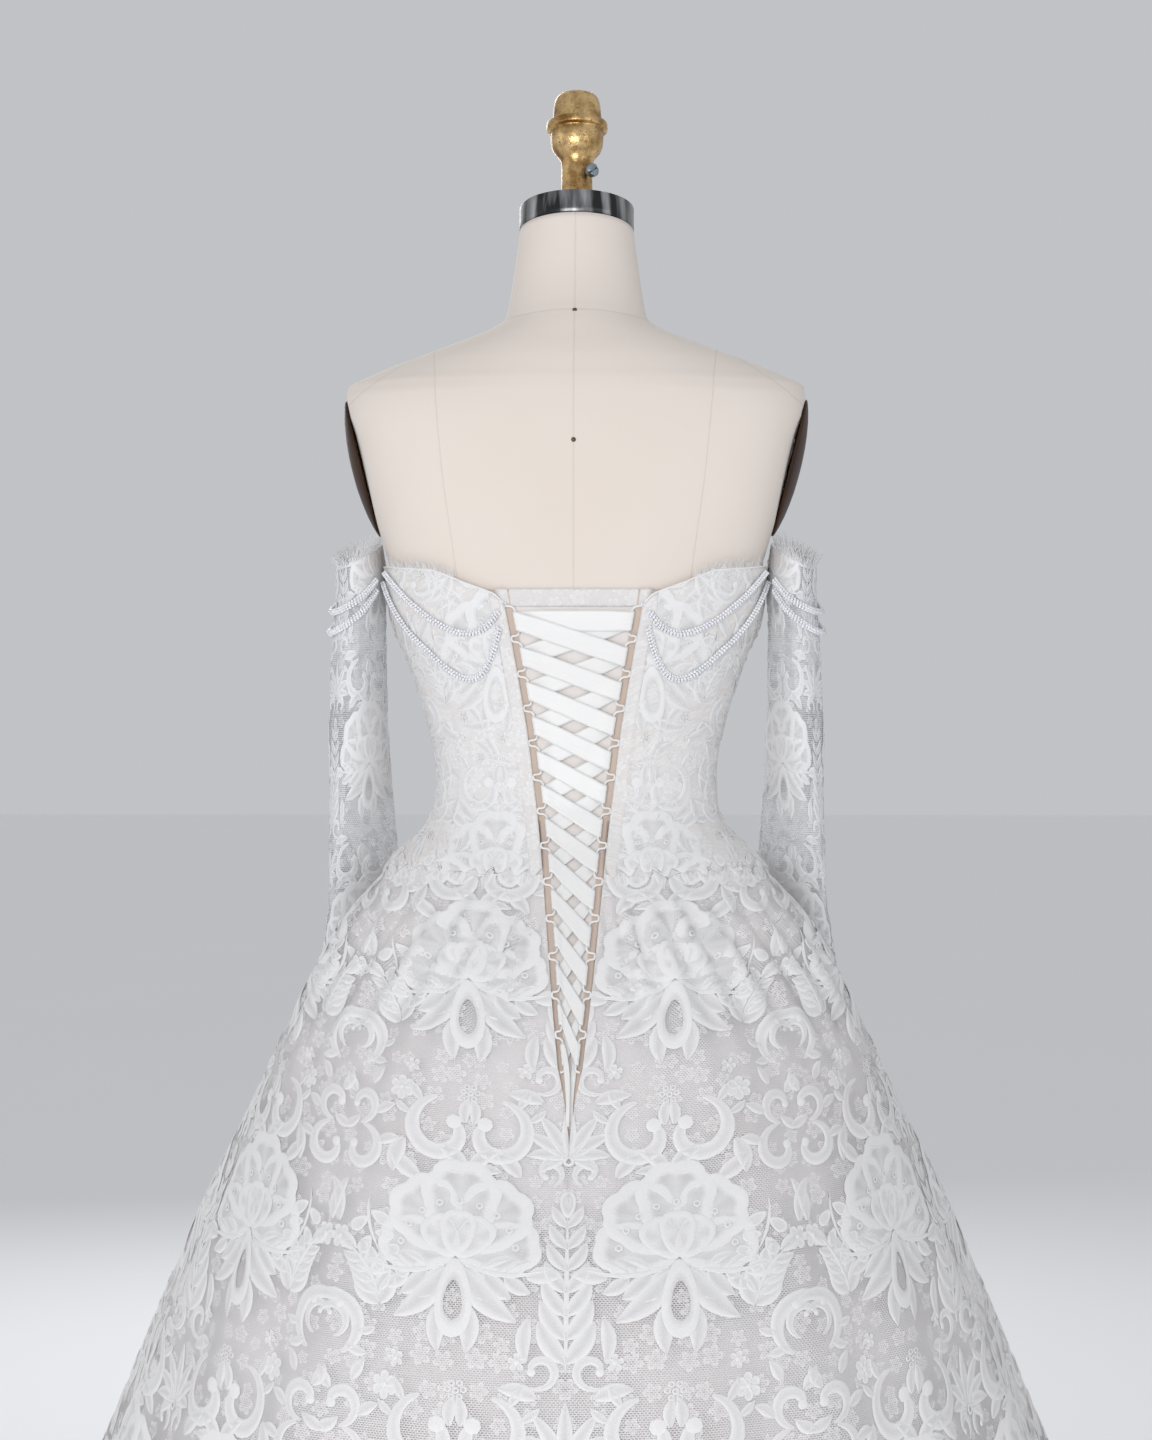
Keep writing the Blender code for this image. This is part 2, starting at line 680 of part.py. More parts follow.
def fold_sections(side, number, from_top, facing_on_top):
    """Sections round a loop's cord on its outer side, from one layer to the other."""
    height = loop_height(number)
    rings = []
    for share in (1 / 4, 2 / 4, 3 / 4):
        angle = math.pi * (share if from_top else 1 - share)
        corners = []
        for edge, layer in RIBBON_CORNERS:
            away = RIBBON_LAYER + facing_on_top * layer * RIBBON_WALL / 2
            up = edge * RIBBON_GATHERED / 2
            corners.append(
                (
                    side * (fold_across(number, up) + away * math.sin(angle)),
                    height + up,
                    LOOP_OUT + away * math.cos(angle),
                )
            )
        rings.append(ribbon_ring(corners))
    return rings


def strip_sections(side, number_from, number_to, out_from, out_to, facing):
    """Sections of one strip, from a loop on this side to a loop on the other side."""
    start, end = side * fold_across(number_from), -side * fold_across(number_to)
    height_from, height_to = loop_height(number_from), loop_height(number_to)
    wide = abs(start) > WIDE_STRIP
    slant = side * (fold_across(number_from, RIBBON_GATHERED / 2) - abs(start))
    rings = []
    for share in (0.0, 0.14, 0.5, 0.86, 1.0) if wide else (0.0, 0.3, 0.7, 1.0):
        fullness = smooth_step(min(share, 1 - share), 0, 0.2)
        half_up = (RIBBON_GATHERED + (RIBBON_WIDTH - RIBBON_GATHERED) * fullness) / 2
        across = start + (end - start) * share
        height = height_from + (height_to - height_from) * share
        out = out_from + (out_to - out_from) * share
        rings.append(flat_section(across, height, out, slant * (1 - 2 * share), half_up, facing))
    return rings


def tail_sections(side, out, facing):
    """The free end, from its last loop down the opening."""
    across, top = side * fold_across(LOOPS - 1), loop_height(LOOPS - 1)
    turn_over = side * MM
    slant = fold_across(LOOPS - 1, RIBBON_GATHERED / 2) - fold_across(LOOPS - 1)
    # share of the distance across, height, half width across, half width up
    sections = (
        (1.00, top, side * slant, RIBBON_GATHERED / 2),
        (0.70, top - 7 * MM, -1.5 * turn_over, 6.0 * MM),
        (0.40, top - 18 * MM, -5.0 * turn_over, 3.4 * MM),
        (0.25, top - 32 * MM, -5.6 * turn_over, 1.5 * MM),
        (0.25, TAIL_END, -5.4 * turn_over, 0.8 * MM),
    )
    return [
        flat_section(across * share, height, out, half_across, half_up, facing)
        for share, height, half_across, half_up in sections
    ]


def make_ribbon(group):
    """One ribbon: it crosses at each step, folds round each loop, and ends in two free ends."""
    top, under = LOOP_OUT + RIBBON_LAYER, LOOP_OUT - RIBBON_LAYER
    last = LOOPS - 1
    rings = list(reversed(tail_sections(1, top, 1)))
    side, on_top = 1, True
    for number in range(last, 0, -1):
        rings += fold_sections(side, number, on_top, 1)
        on_top = not on_top
        out = top if on_top else under
        rings += strip_sections(side, number, number - 1, out, out, 1 if on_top else -1)
        side = -side
    rings += fold_sections(side, 0, on_top, 1)
    on_top = not on_top
    if on_top:
        rings += strip_sections(side, 0, 0, top, under, 1)
    else:
        rings += strip_sections(side, 0, 0, under, top, -1)
    side, on_top = -side, not on_top
    for number in range(last):
        rings += fold_sections(side, number, on_top, -1)
        on_top = not on_top
        out = top if on_top else under
        rings += strip_sections(side, number, number + 1, out, out, -1 if on_top else 1)
        side = -side
    rings += fold_sections(side, last, on_top, -1)
    on_top = not on_top
    rings += tail_sections(side, top if on_top else under, -1 if on_top else 1)
    paint(loft("lacing_ribbon", rings, group), SATIN, 0.4)


# The skirts


def half_gap_turn(height):
    """Half a seam's gap, as a turn at the skirt's side."""
    width = smooth_columns(SKIRT_ROWS, height)[..., 0]
    return np.degrees(0.5 * GAP / width)


def opening_edge_turn(height):
    """The turn of the back opening's edge, and of the closed seam below its tip."""
    return float(turn_at(np.array(opening(height)), np.array(height)))


def skirt_grid(heights, columns, front, out_at, gather):
    """A skirt panel from its hem up; the front one goes round the front, the other from the back opening."""
    rows = []
    for height in sorted(heights):
        seam = SKIRT_SIDE_SEAM
        nudge = float(half_gap_turn(height))
        if front:
            turns = np.linspace(seam + nudge, 360 - seam - nudge, columns)
        else:
            turns = np.linspace(opening_edge_turn(height), seam - nudge, columns)
        out = out_at(turns, np.full(columns, height))
        if gather:
            crimp = np.where(np.arange(columns) % 2, 1.0, -1.0)
            crimp[[0, -1]] = 0
            near = np.exp(-(((height - GATHER["height"]) / GATHER["spread"]) ** 2)) if height < 0.98 else 0
            side = smooth_step(folded_turn(turns), GATHER["clear_turn"], GATHER["clear_turn"] + 12)
            out = out + GATHER["depth"] * near * side * crimp
        rows.append(dress_out(turns, np.full(columns, height), out))
    return np.stack(rows)


def make_skirts(group):
    def underskirt_out(turns, height):
        return np.zeros(len(turns))

    lace_back = skirt_grid(SKIRT_HEIGHTS, 20, False, lace_out, True)
    under_back = skirt_grid(UNDERSKIRT_HEIGHTS, 11, False, underskirt_out, False)
    lace_front = skirt_grid(SKIRT_HEIGHTS, 31, True, lace_out, True)
    under_front = skirt_grid(UNDERSKIRT_HEIGHTS, 17, True, underskirt_out, False)
    for side, turned_over in (("left", False), ("right", True)):
        lace = mirrored(lace_back) if turned_over else lace_back
        under = mirrored(under_back) if turned_over else under_back
        paint(cloth_wall(f"lace_skirt_back_{side}", lace, LACE_WALL, group), DRESS_WHITE, 0.8)
        paint(cloth_wall(f"underskirt_back_{side}", under, UNDERSKIRT_WALL, group), NET_WHITE, 0.8)
    paint(cloth_wall("lace_skirt_front", lace_front, LACE_WALL, group), DRESS_WHITE, 0.8)
    paint(cloth_wall("underskirt_front", under_front, UNDERSKIRT_WALL, group), NET_WHITE, 0.8)


# The sleeves


def sleeve_out(around, height, out):
    """A point of the left sleeve: around is 0 at its outer side, 90 at its back and -90 at its front."""
    x, y, thin, deep, swing = np.moveaxis(smooth_columns(SLEEVE_ROWS, height), -1, 0)
    angle, swing = np.radians(around), np.radians(swing)
    over, along = (thin + out) * np.cos(angle), (deep + out) * np.sin(angle)
    across = x + over * np.cos(swing) + along * np.sin(swing)
    forward = y - over * np.sin(swing) + along * np.cos(swing)
    point = np.stack([across, forward, height + 0 * over], axis=-1)
    near_top = smooth_step(height, 1.17, SLEEVE_ROWS[0][0])
    tilt = SLEEVE_TOP_RISE_FORWARD * (point[..., 1] - y) + SLEEVE_TOP_DROP_OUTWARD * (point[..., 0] - x)
    point[..., 2] -= near_top * tilt
    return point


def make_sleeves(group):
    around = -np.arange(0, 360, SLEEVE_FACET)
    rows = [sleeve_out(around, np.full(len(around), row[0]), 0.0) for row in sorted(SLEEVE_ROWS)]
    grid = np.stack(rows)
    for side, points in (("left", grid), ("right", mirrored(grid))):
        paint(cloth_wall(f"sleeve_{side}", points, SLEEVE_WALL, group, tube=True), NET_WHITE, 0.8)


# Bead swags and eyelash edges


def hang(share, drop, skew):
    """How far a swag hangs below the line between its ends, at this share of its way."""
    return drop * (1 - (2 * share**skew - 1) ** 2)


def make_swags(group):
    share = np.linspace(0, 1, 12)
    clear = BODICE_OUT + BODICE_WALL + 3 * GAP + SWAG_RADIUS
    for name, turn, height, end_across, end_height, drop in BACK_SWAGS:
        end_turn = float(turn_at(np.array(end_across), np.array(end_height)))
        turns = turn + (end_turn - turn) * share
        heights = height + (end_height - height) * share - hang(share, drop, SWAG_SKEW)
        path = dress_out(turns, heights, clear)
        for side, sign in (("left", 1), ("right", -1)):
            swag = tube(f"swag_back_{name}_{side}", path * (sign, 1, 1), SWAG_RADIUS, 1, group)
            paint(swag, BEADS, 0.25)
    around = np.arange(SLEEVE_SWAG_ENDS[0], SLEEVE_SWAG_ENDS[1] - 1, -SLEEVE_FACET)
    share = (SLEEVE_SWAG_ENDS[0] - around) / (SLEEVE_SWAG_ENDS[0] - SLEEVE_SWAG_ENDS[1])
    clear = SLEEVE_WALL + 5 * GAP + SWAG_RADIUS
    for name, height, drop in SLEEVE_SWAGS:
        path = sleeve_out(around, height - hang(share, drop, SLEEVE_SWAG_SKEW), clear)
        for side, sign in (("left", 1), ("right", -1)):
            swag = tube(f"swag_sleeve_{name}_{side}", path * (sign, 1, 1), SWAG_RADIUS, 1, group)
            paint(swag, BEADS, 0.25)


def lash_edge(name, inner, outer, group):
    """A narrow strip with a row of lashes standing on it; inner and outer are its lower edges."""
    count = len(inner)
    up = np.array([0, 0, LASH["strip"]])
    points = np.stack([inner, outer, outer + up, inner + up], axis=1).reshape(-1, 3)
    middles = points.reshape(-1, 4, 3)
    tips = []
    faces = [(0, 3, 2, 1), tuple(4 * (count - 1) + i for i in (0, 1, 2, 3))]
    for i in range(count - 1):
        a, b, c, d = (4 * i + corner for corner in range(4))
        a2, b2, c2, d2 = (4 * (i + 1) + corner for corner in range(4))
        tip = len(points) + i
        faces += [(b, c, c2, b2), (d, a, a2, d2), (a, b, b2, a2)]
        faces += [(c, d, tip), (d, d2, tip), (d2, c2, tip), (c2, c, tip)]
        middle = (middles[i, 2:].sum(0) + middles[i + 1, 2:].sum(0)) / 4
        outward = outer[i] - inner[i]
        outward = outward / np.linalg.norm(outward)
        along = inner[i + 1] - inner[i]
        length = LASH["length"] * (0.8 + 0.2 * math.sin(2.3 * i))
        sway = 0.5 * math.sin(1.7 * i)
        tips.append(middle + outward * LASH["lean"] + along * sway + np.array([0, 0, length]))
    return mesh_from(name, np.concatenate([points, tips]), faces, group)


def make_lashes(group):
    turns = np.linspace(54, 71, 13)
    low = neckline(turns) - 2.2 * MM
    start = BODICE_OUT + BODICE_WALL + 3 * GAP
    inner = dress_out(turns, low, start)
    outer = dress_out(turns, low, start + LASH["wall"])
    around = np.linspace(112, -112, 31)
    height = np.full(len(around), SLEEVE_ROWS[0][0] - 2.2 * MM)
    start = SLEEVE_WALL + 2 * GAP
    sleeve_inner = sleeve_out(around, height, start)
    sleeve_outer = sleeve_out(around, height, start + LASH["wall"])
    edges = (("eyelash_back", inner, outer), ("eyelash_sleeve", sleeve_inner, sleeve_outer))
    for name, first, second in edges:
        paint(lash_edge(f"{name}_left", first, second, group), DRESS_WHITE, 0.8)
        other = lash_edge(f"{name}_right", first[::-1] * MIRROR, second[::-1] * MIRROR, group)
        paint(other, DRESS_WHITE, 0.8)


def build():
    clear_scene()
    group = collection_named("wedding_dress_on_dress_form")
    make_form(group)
    make_bodice(group)
    make_modesty_panel(group)
    make_loops(group)
    make_ribbon(group)
    make_skirts(group)
    make_sleeves(group)
    make_swags(group)
    make_lashes(group)


build()
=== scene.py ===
"""Looks for the laced-back lace wedding dress on its dress form.

Every cloth piece is a thin shell on its own solid's form. The lace figures are drawn flat, in metres, and
laid on the cloth through charts that keep their size.
"""

import math

import bpy
import numpy as np
from mathutils import Euler, Matrix, Vector


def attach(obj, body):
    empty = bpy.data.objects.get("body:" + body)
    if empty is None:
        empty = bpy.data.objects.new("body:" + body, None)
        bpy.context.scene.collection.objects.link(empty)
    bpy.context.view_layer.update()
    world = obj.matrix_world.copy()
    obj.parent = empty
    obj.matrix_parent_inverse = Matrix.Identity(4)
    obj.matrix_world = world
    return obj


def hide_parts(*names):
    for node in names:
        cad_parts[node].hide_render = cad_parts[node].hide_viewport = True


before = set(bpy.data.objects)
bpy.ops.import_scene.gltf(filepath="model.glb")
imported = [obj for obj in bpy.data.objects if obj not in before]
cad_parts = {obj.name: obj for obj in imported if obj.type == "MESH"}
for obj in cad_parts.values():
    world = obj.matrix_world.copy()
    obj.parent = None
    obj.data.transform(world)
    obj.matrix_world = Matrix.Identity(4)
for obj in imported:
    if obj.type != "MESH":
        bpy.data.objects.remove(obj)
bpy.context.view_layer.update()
MM = 0.001
GAP = 0.3 * MM
MIRROR = np.array([-1.0, 1.0, 1.0])
SIDES = (("left", 1), ("right", -1))
RANDOM = np.random.default_rng(7)

# ---------------------------------------------------------------- the solids' own surface

# height, half_width, centre_y, to_front, to_back, squareness
FORM_ROWS = (
    (1.5410, 0.0490, -0.030, 0.049, 0.049, 2.0),
    (1.5000, 0.0545, -0.026, 0.052, 0.053, 2.0),
    (1.4740, 0.0585, -0.020, 0.056, 0.060, 2.0),
    (1.4620, 0.0615, -0.015, 0.060, 0.065, 2.0),
    (1.4515, 0.0760, -0.012, 0.068, 0.070, 2.0),
    (1.4410, 0.1020, -0.010, 0.075, 0.075, 2.0),
    (1.4310, 0.1280, -0.008, 0.081, 0.080, 2.0),
    (1.4210, 0.1550, -0.006, 0.088, 0.084, 2.0),
    (1.4100, 0.1800, -0.005, 0.095, 0.088, 2.1),
    (1.4010, 0.1950, -0.004, 0.100, 0.091, 2.3),
    (1.3900, 0.1955, -0.004, 0.106, 0.094, 2.7),
    (1.3590, 0.1870, -0.003, 0.118, 0.099, 3.1),
    (1.3180, 0.1770, -0.002, 0.130, 0.101, 3.2),
    (1.2770, 0.1670, -0.001, 0.139, 0.098, 3.0),
    (1.2500, 0.1590, 0.000, 0.143, 0.095, 2.7),
    (1.2050, 0.1535, 0.000, 0.143, 0.091, 2.5),
    (1.1750, 0.1410, 0.000, 0.137, 0.086, 2.4),
    (1.1450, 0.1305, 0.000, 0.125, 0.081, 2.3),
    (1.1100, 0.1205, 0.000, 0.110, 0.078, 2.2),
    (1.0750, 0.1146, 0.000, 0.100, 0.076, 2.2),
    (1.0500, 0.1152, 0.000, 0.099, 0.078, 2.2),
    (1.0300, 0.1200, 0.000, 0.102, 0.082, 2.2),
    (1.0000, 0.1320, 0.000, 0.108, 0.092, 2.2),
    (0.9500, 0.1500, 0.000, 0.114, 0.106, 2.2),
    (0.9000, 0.1610, 0.000, 0.116, 0.115, 2.2),
    (0.8600, 0.1650, 0.000, 0.115, 0.118, 2.2),
    (0.8000, 0.1600, 0.000, 0.108, 0.112, 2.2),
)
SKIRT_ROWS = (
    (1.0300, 0.1222, 0.000, 0.1045, 0.0840, 2.2),
    (1.0150, 0.1346, 0.000, 0.1120, 0.0900, 2.15),
    (1.0000, 0.1530, 0.000, 0.1230, 0.0990, 2.1),
    (0.9850, 0.1640, 0.000, 0.1330, 0.1090, 2.1),
    (0.9650, 0.1760, 0.000, 0.1450, 0.1220, 2.05),
    (0.9400, 0.1915, 0.000, 0.1610, 0.1410, 2.0),
    (0.9050, 0.2090, 0.000, 0.1830, 0.1680, 2.0),
    (0.8450, 0.2355, 0.000, 0.2170, 0.2130, 2.0),
    (0.7950, 0.2560, 0.000, 0.2425, 0.2475, 2.0),
    (0.7000, 0.2965, 0.000, 0.2870, 0.3080, 2.0),
    (0.5700, 0.3470, 0.000, 0.3450, 0.3800, 2.0),
    (0.4000, 0.4120, 0.000, 0.4150, 0.4530, 2.0),
    (0.2000, 0.4890, 0.000, 0.4930, 0.5340, 2.0),
    (0.0120, 0.5570, 0.000, 0.5600, 0.6020, 2.0),
)
FORM_SKIRT_JOIN = 1.040
NECK_LEAN, LEAN_STARTS = math.radians(10), 1.462
BUST = dict(turn=147, height=1.212, rise=13 * MM, turn_spread=20, height_spread=0.042)
LACE_OUT = 1.3 * MM
BODICE_OUT, BODICE_WALL = 3.2 * MM, 1.5 * MM
LACE_EDGE_OUT = 3.4 * MM
LOOP_OUT, LOOP_RADIUS = 4.4 * MM, 1.0 * MM
RIBBON_LAYER = 2.1 * MM
# height, half_width of the back opening
OPENING_ROWS = (
    (0.795, 0.5 * GAP),
    (0.825, 4.5 * MM),
    (0.845, 9.5 * MM),
    (0.905, 16.5 * MM),
    (1.030, 28.5 * MM),
    (1.110, 38.0 * MM),
    (1.175, 49.0 * MM),
    (1.230, 59.5 * MM),
)
OPENING_TIP = 0.795
# turn, height of the bodice's top edge
NECKLINE = (
    (0, 1.2130),
    (32, 1.2140),
    (36, 1.2230),
    (46, 1.2320),
    (56, 1.2430),
    (75, 1.2480),
    (105, 1.2520),
    (130, 1.2640),
    (148, 1.2680),
    (168, 1.2560),
    (180, 1.2480),
)
# height, distance of the lace skirt off the underskirt
STAND_OFF = (
    (0.012, 25.0 * MM),
    (0.400, 23.0 * MM),
    (0.700, 19.0 * MM),
    (0.845, 14.0 * MM),
    (0.905, 11.0 * MM),
    (0.940, 8.0 * MM),
    (0.965, 5.5 * MM),
    (0.985, LACE_OUT),
    (1.030, LACE_OUT),
)
# turn, half_angle, rise_at_hem, starts_at of each soft fold of one half
FOLDS = (
    (13, 5.0, 16 * MM, 0.74),
    (30, 5.5, 24 * MM, 0.90),
    (47, 5.0, 18 * MM, 0.94),
    (64, 6.0, 26 * MM, 0.92),
    (82, 5.0, 16 * MM, 0.95),
    (99, 5.5, 22 * MM, 0.93),
    (117, 6.0, 26 * MM, 0.90),
    (135, 5.0, 18 * MM, 0.94),
    (152, 5.5, 24 * MM, 0.92),
    (170, 5.0, 18 * MM, 0.90),
)
SKIRT_SIDE_SEAM = 96
# height, x, y, half_thin, half_deep, swing of the left sleeve
SLEEVE_ROWS = (
    (1.2600, 0.1862, -0.008, 0.0176, 0.0600, 0),
    (1.2300, 0.1844, -0.008, 0.0200, 0.0605, 0),
    (1.1950, 0.1862, -0.010, 0.0205, 0.0600, 2),
    (1.1500, 0.1875, -0.016, 0.0212, 0.0575, 4),
    (1.0950, 0.1880, -0.026, 0.0220, 0.0555, 7),
    (1.0400, 0.1875, -0.042, 0.0215, 0.0530, 13),
    (1.0000, 0.1870, -0.062, 0.0205, 0.0500, 22),
    (0.9600, 0.1870, -0.094, 0.0190, 0.0480, 34),
    (0.9200, 0.1915, -0.125, 0.0185, 0.0470, 42),
    (0.8750, 0.2010, -0.153, 0.0180, 0.0460, 46),
    (0.8250, 0.2155, -0.177, 0.0180, 0.0450, 48),
    (0.7400, 0.2430, -0.209, 0.0175, 0.0440, 49),
)
SLEEVE_WALL = 1.2 * MM
SLEEVE_TOP_RISE_FORWARD, SLEEVE_TOP_DROP_OUTWARD = 0.16, 0.45


def unit(vectors):
    return vectors / np.linalg.norm(vectors, axis=-1, keepdims=True)


def steps_between(rows, at):
    table = np.array(sorted(rows), float)
    return np.interp(at, table[:, 0], table[:, 1])


def smooth_columns(rows, at):
    """Every column of a table at the heights asked for, on a monotone cubic through its rows."""
    table = np.array(sorted(rows), float)
    knots, values = table[:, 0], table[:, 1:]
    widths = np.diff(knots)[:, None]
    slopes = np.diff(values, axis=0) / widths
    before, after = slopes[:-1], slopes[1:]
    mean = np.where(before * after > 0, 2 * before * after / (before + after + 1e-12), 0.0)
    tangents = np.concatenate([slopes[:1], mean, slopes[-1:]])
    at = np.clip(np.asarray(at, float), knots[0], knots[-1])
    left = np.clip(np.searchsorted(knots, at, side="right") - 1, 0, len(knots) - 2)
    width = widths[left]
    part = ((at - knots[left])[..., None]) / width
    return (
        (1 + 2 * part) * (1 - part) ** 2 * values[left]
        + part * (1 - part) ** 2 * width * tangents[left]
        + part**2 * (3 - 2 * part) * values[left + 1]
        + part**2 * (part - 1) * width * tangents[left + 1]
    )


def folded_turn(turn):
    return np.abs((np.asarray(turn, float) + 180) % 360 - 180)


def smooth_step(value, low, high):
    part = np.clip((value - low) / (high - low), 0, 1)
    return part * part * (3 - 2 * part)


def bust_rise(turn, height):
    away = (folded_turn(turn) - BUST["turn"]) / BUST["turn_spread"]
    up = (height - BUST["height"]) / BUST["height_spread"]
    return BUST["rise"] * np.exp(-(away**2) - up**2)


def fold_rise(turn, height):
    rise = np.zeros(np.broadcast(turn, height).shape)
    for at, half_angle, hem_rise, starts in FOLDS:
        grown = np.clip((starts - height) / starts, 0, 1) ** 1.2
        rise = rise + hem_rise * grown * np.exp(-(((folded_turn(turn) - at) / half_angle) ** 2))
    return rise


def on_sections(rows, turn, height, extra):
    width, centre, front, back, square = np.moveaxis(smooth_columns(rows, height), -1, 0)
    angle = np.radians(turn)
    across, along = np.sin(angle), np.cos(angle)
    depth = np.where(along < 0, front, back)
    reach = (np.abs(across / width) ** square + np.abs(along / depth) ** square) ** (-1 / square)
    reach = reach + extra
    return np.stack([reach * across, centre + reach * along, height + 0 * reach], axis=-1)


def form_point(turn, height):
    turn, height = np.broadcast_arrays(np.asarray(turn, float), np.asarray(height, float))
    return on_sections(FORM_ROWS, turn, height, bust_rise(turn, height))


DRESS_ROWS = tuple(
    (height, width + GAP, centre, front + GAP, back + GAP, square)
    for height, width, centre, front, back, square in FORM_ROWS
    if FORM_SKIRT_JOIN < height < 1.3
) + SKIRT_ROWS


def dress_point(turn, height):
    turn, height = np.broadcast_arrays(np.asarray(turn, float), np.asarray(height, float))
    return on_sections(DRESS_ROWS, turn, height, bust_rise(turn, height) + fold_rise(turn, height))


def dress_out(turn, height, out):
    turn, height = np.broadcast_arrays(np.asarray(turn, float), np.asarray(height, float))
    up = dress_point(turn, height + MM) - dress_point(turn, height - MM)
    round_body = dress_point(turn + 0.5, height) - dress_point(turn - 0.5, height)
    normal = unit(np.cross(up, round_body))
    return dress_point(turn, height) + normal * np.asarray(out, float)[..., None]


def turn_at(across, height):
    turn = np.zeros(np.broadcast(across, height).shape)
    for _ in range(10):
        here = dress_point(turn, height)
        turn = np.degrees(np.arcsin(np.clip(across / np.hypot(here[..., 0], here[..., 1]), -1, 1)))
    return turn


def back_out(across, height, out):
    return dress_out(turn_at(across, height), height, out)


def opening(height):
    return steps_between(OPENING_ROWS, height)


def lace_out(turn, height):
    full = steps_between(STAND_OFF, height)
    at_edge = LACE_OUT + (LACE_EDGE_OUT - LACE_OUT) * smooth_step(0.985 - height, 0, 0.02)
    at_edge = at_edge + (full - at_edge) * smooth_step(OPENING_TIP - height, 0, 0.12)
    return at_edge + (full - at_edge) * smooth_step(folded_turn(turn), 8, 34)


def neckline(turn):
    return steps_between(NECKLINE, folded_turn(turn))


def sleeve_out(around, height, out):
    """A point of the left sleeve: around is 0 at its outer side, 90 at its back and -90 at its front."""
    x, y, thin, deep, swing = np.moveaxis(smooth_columns(SLEEVE_ROWS, height), -1, 0)
    angle, swing = np.radians(around), np.radians(swing)
    over, along = (thin + out) * np.cos(angle), (deep + out) * np.sin(angle)
    across = x + over * np.cos(swing) + along * np.sin(swing)
    forward = y - over * np.sin(swing) + along * np.cos(swing)
    point = np.stack([across, forward, height + 0 * over], axis=-1)
    near_top = smooth_step(height, 1.17, SLEEVE_ROWS[0][0])
    tilt = SLEEVE_TOP_RISE_FORWARD * (point[..., 1] - y) + SLEEVE_TOP_DROP_OUTWARD * (point[..., 0] - x)
    point[..., 2] -= near_top * tilt
    return point


# Creases where the skirt is gathered into the waist, on each half.
# turn, top, bottom, half_angle, depth (trough below zero, ridge above), lean in degrees to the bottom
CREASES = (
    (12, 0.985, 0.900, 1.3, -1.8, 0.5),
    (16, 0.985, 0.850, 1.3, -2.8, 0.5),
    (19, 0.980, 0.890, 1.2, 1.8, 0.5),
    (22, 0.985, 0.870, 1.5, -2.6, 1.0),
    (27, 0.985, 0.860, 1.9, 1.8, 2.5),
    (31, 0.985, 0.840, 1.7, -2.6, 2.5),
    (36, 0.985, 0.900, 1.6, 1.8, 1.0),
    (40, 0.985, 0.815, 1.9, -3.2, 3.5),
    (45, 0.980, 0.870, 1.8, 2.2, 2.0),
    (49, 0.985, 0.850, 1.6, -2.4, 2.0),
    (54, 0.985, 0.820, 2.0, 2.6, 3.0),
    (58, 0.985, 0.800, 1.8, -3.4, 3.0),
    (63, 0.985, 0.880, 1.7, 2.0, 1.0),
    (67, 0.985, 0.840, 1.7, -2.8, 2.0),
    (72, 0.985, 0.810, 2.1, 2.8, 2.0),
    (77, 0.985, 0.860, 1.7, -2.4, 1.0),
    (81, 0.985, 0.830, 1.9, 2.2, 1.5),
    (86, 0.985, 0.800, 2.0, -3.2, 1.0),
    (91, 0.985, 0.870, 1.8, 2.2, 0.0),
    (97, 0.985, 0.820, 2.2, -2.8, 0.0),
    (103, 0.985, 0.850, 1.9, 2.4, -1.0),
    (108, 0.985, 0.810, 2.1, -3.0, -1.0),
    (114, 0.985, 0.880, 1.8, 2.0, -1.0),
    (119, 0.985, 0.830, 2.0, -2.6, -2.0),
    (125, 0.985, 0.800, 2.2, 2.4, -2.0),
    (131, 0.985, 0.860, 1.9, -2.4, -2.0),
    (137, 0.985, 0.840, 2.0, 2.2, -1.0),
    (143, 0.985, 0.820, 2.1, -2.8, -1.0),
    (150, 0.985, 0.880, 1.9, 1.8, -1.0),
    (156, 0.985, 0.850, 2.0, -2.2, -1.0),
    (163, 0.985, 0.860, 2.1, 2.0, 0.0),
    (170, 0.985, 0.840, 2.1, -2.2, 0.0),
    (177, 0.985, 0.860, 2.2, 1.6, 0.0),
)

CREASE_DEPTH, CREASE_WIDER, CREASE_LONGER = 1.6, 1.12, 1.35
CREASE_GROWN, CREASE_FADES = 0.26, 0.34  # shares of a crease's length
SIDE_EASING = 0.3  # how much shallower the creases are at the sides and the front


def crease_rise(turn, height):
    """Soft troughs and ridges, at full depth about a third of the way down each, then fading."""
    turn, height = np.broadcast_arrays(folded_turn(turn), np.asarray(height, float))
    rise = np.zeros(turn.shape)
    for at, top, bottom, half_angle, depth, lean in CREASES:
        way = np.clip((top - height) / (top - bottom) / CREASE_LONGER, 0, 1)
        strength = smooth_step(way, 0.0, CREASE_GROWN) * (1 - smooth_step(way, CREASE_FADES, 1.0))
        centre = at + lean * way
        strength *= 1 - SIDE_EASING * smooth_step(turn, 34, 60)
        wide = CREASE_WIDER * half_angle * (1 + 0.5 * way)
        rise += CREASE_DEPTH * depth * MM * strength * np.exp(-(((turn - centre) / wide) ** 2))
    return rise


# ---------------------------------------------------------------- materials


def set_or_link(tree, socket, value):
    if isinstance(value, bpy.types.NodeSocket):
        tree.links.new(value, socket)
    else:
        socket.default_value = value


def node(tree, kind, inputs=None, **settings):
    made = tree.nodes.new(kind)
    for key, value in settings.items():
        setattr(made, key, value)
    for key, value in (inputs or {}).items():
        set_or_link(tree, made.inputs[key], value)
    return made


def maths(tree, operation, *values, clamp=False):
    made = node(tree, "ShaderNodeMath", operation=operation, use_clamp=clamp)
    for socket, value in zip(made.inputs, values):
        set_or_link(tree, socket, value)
    return made.outputs[0]


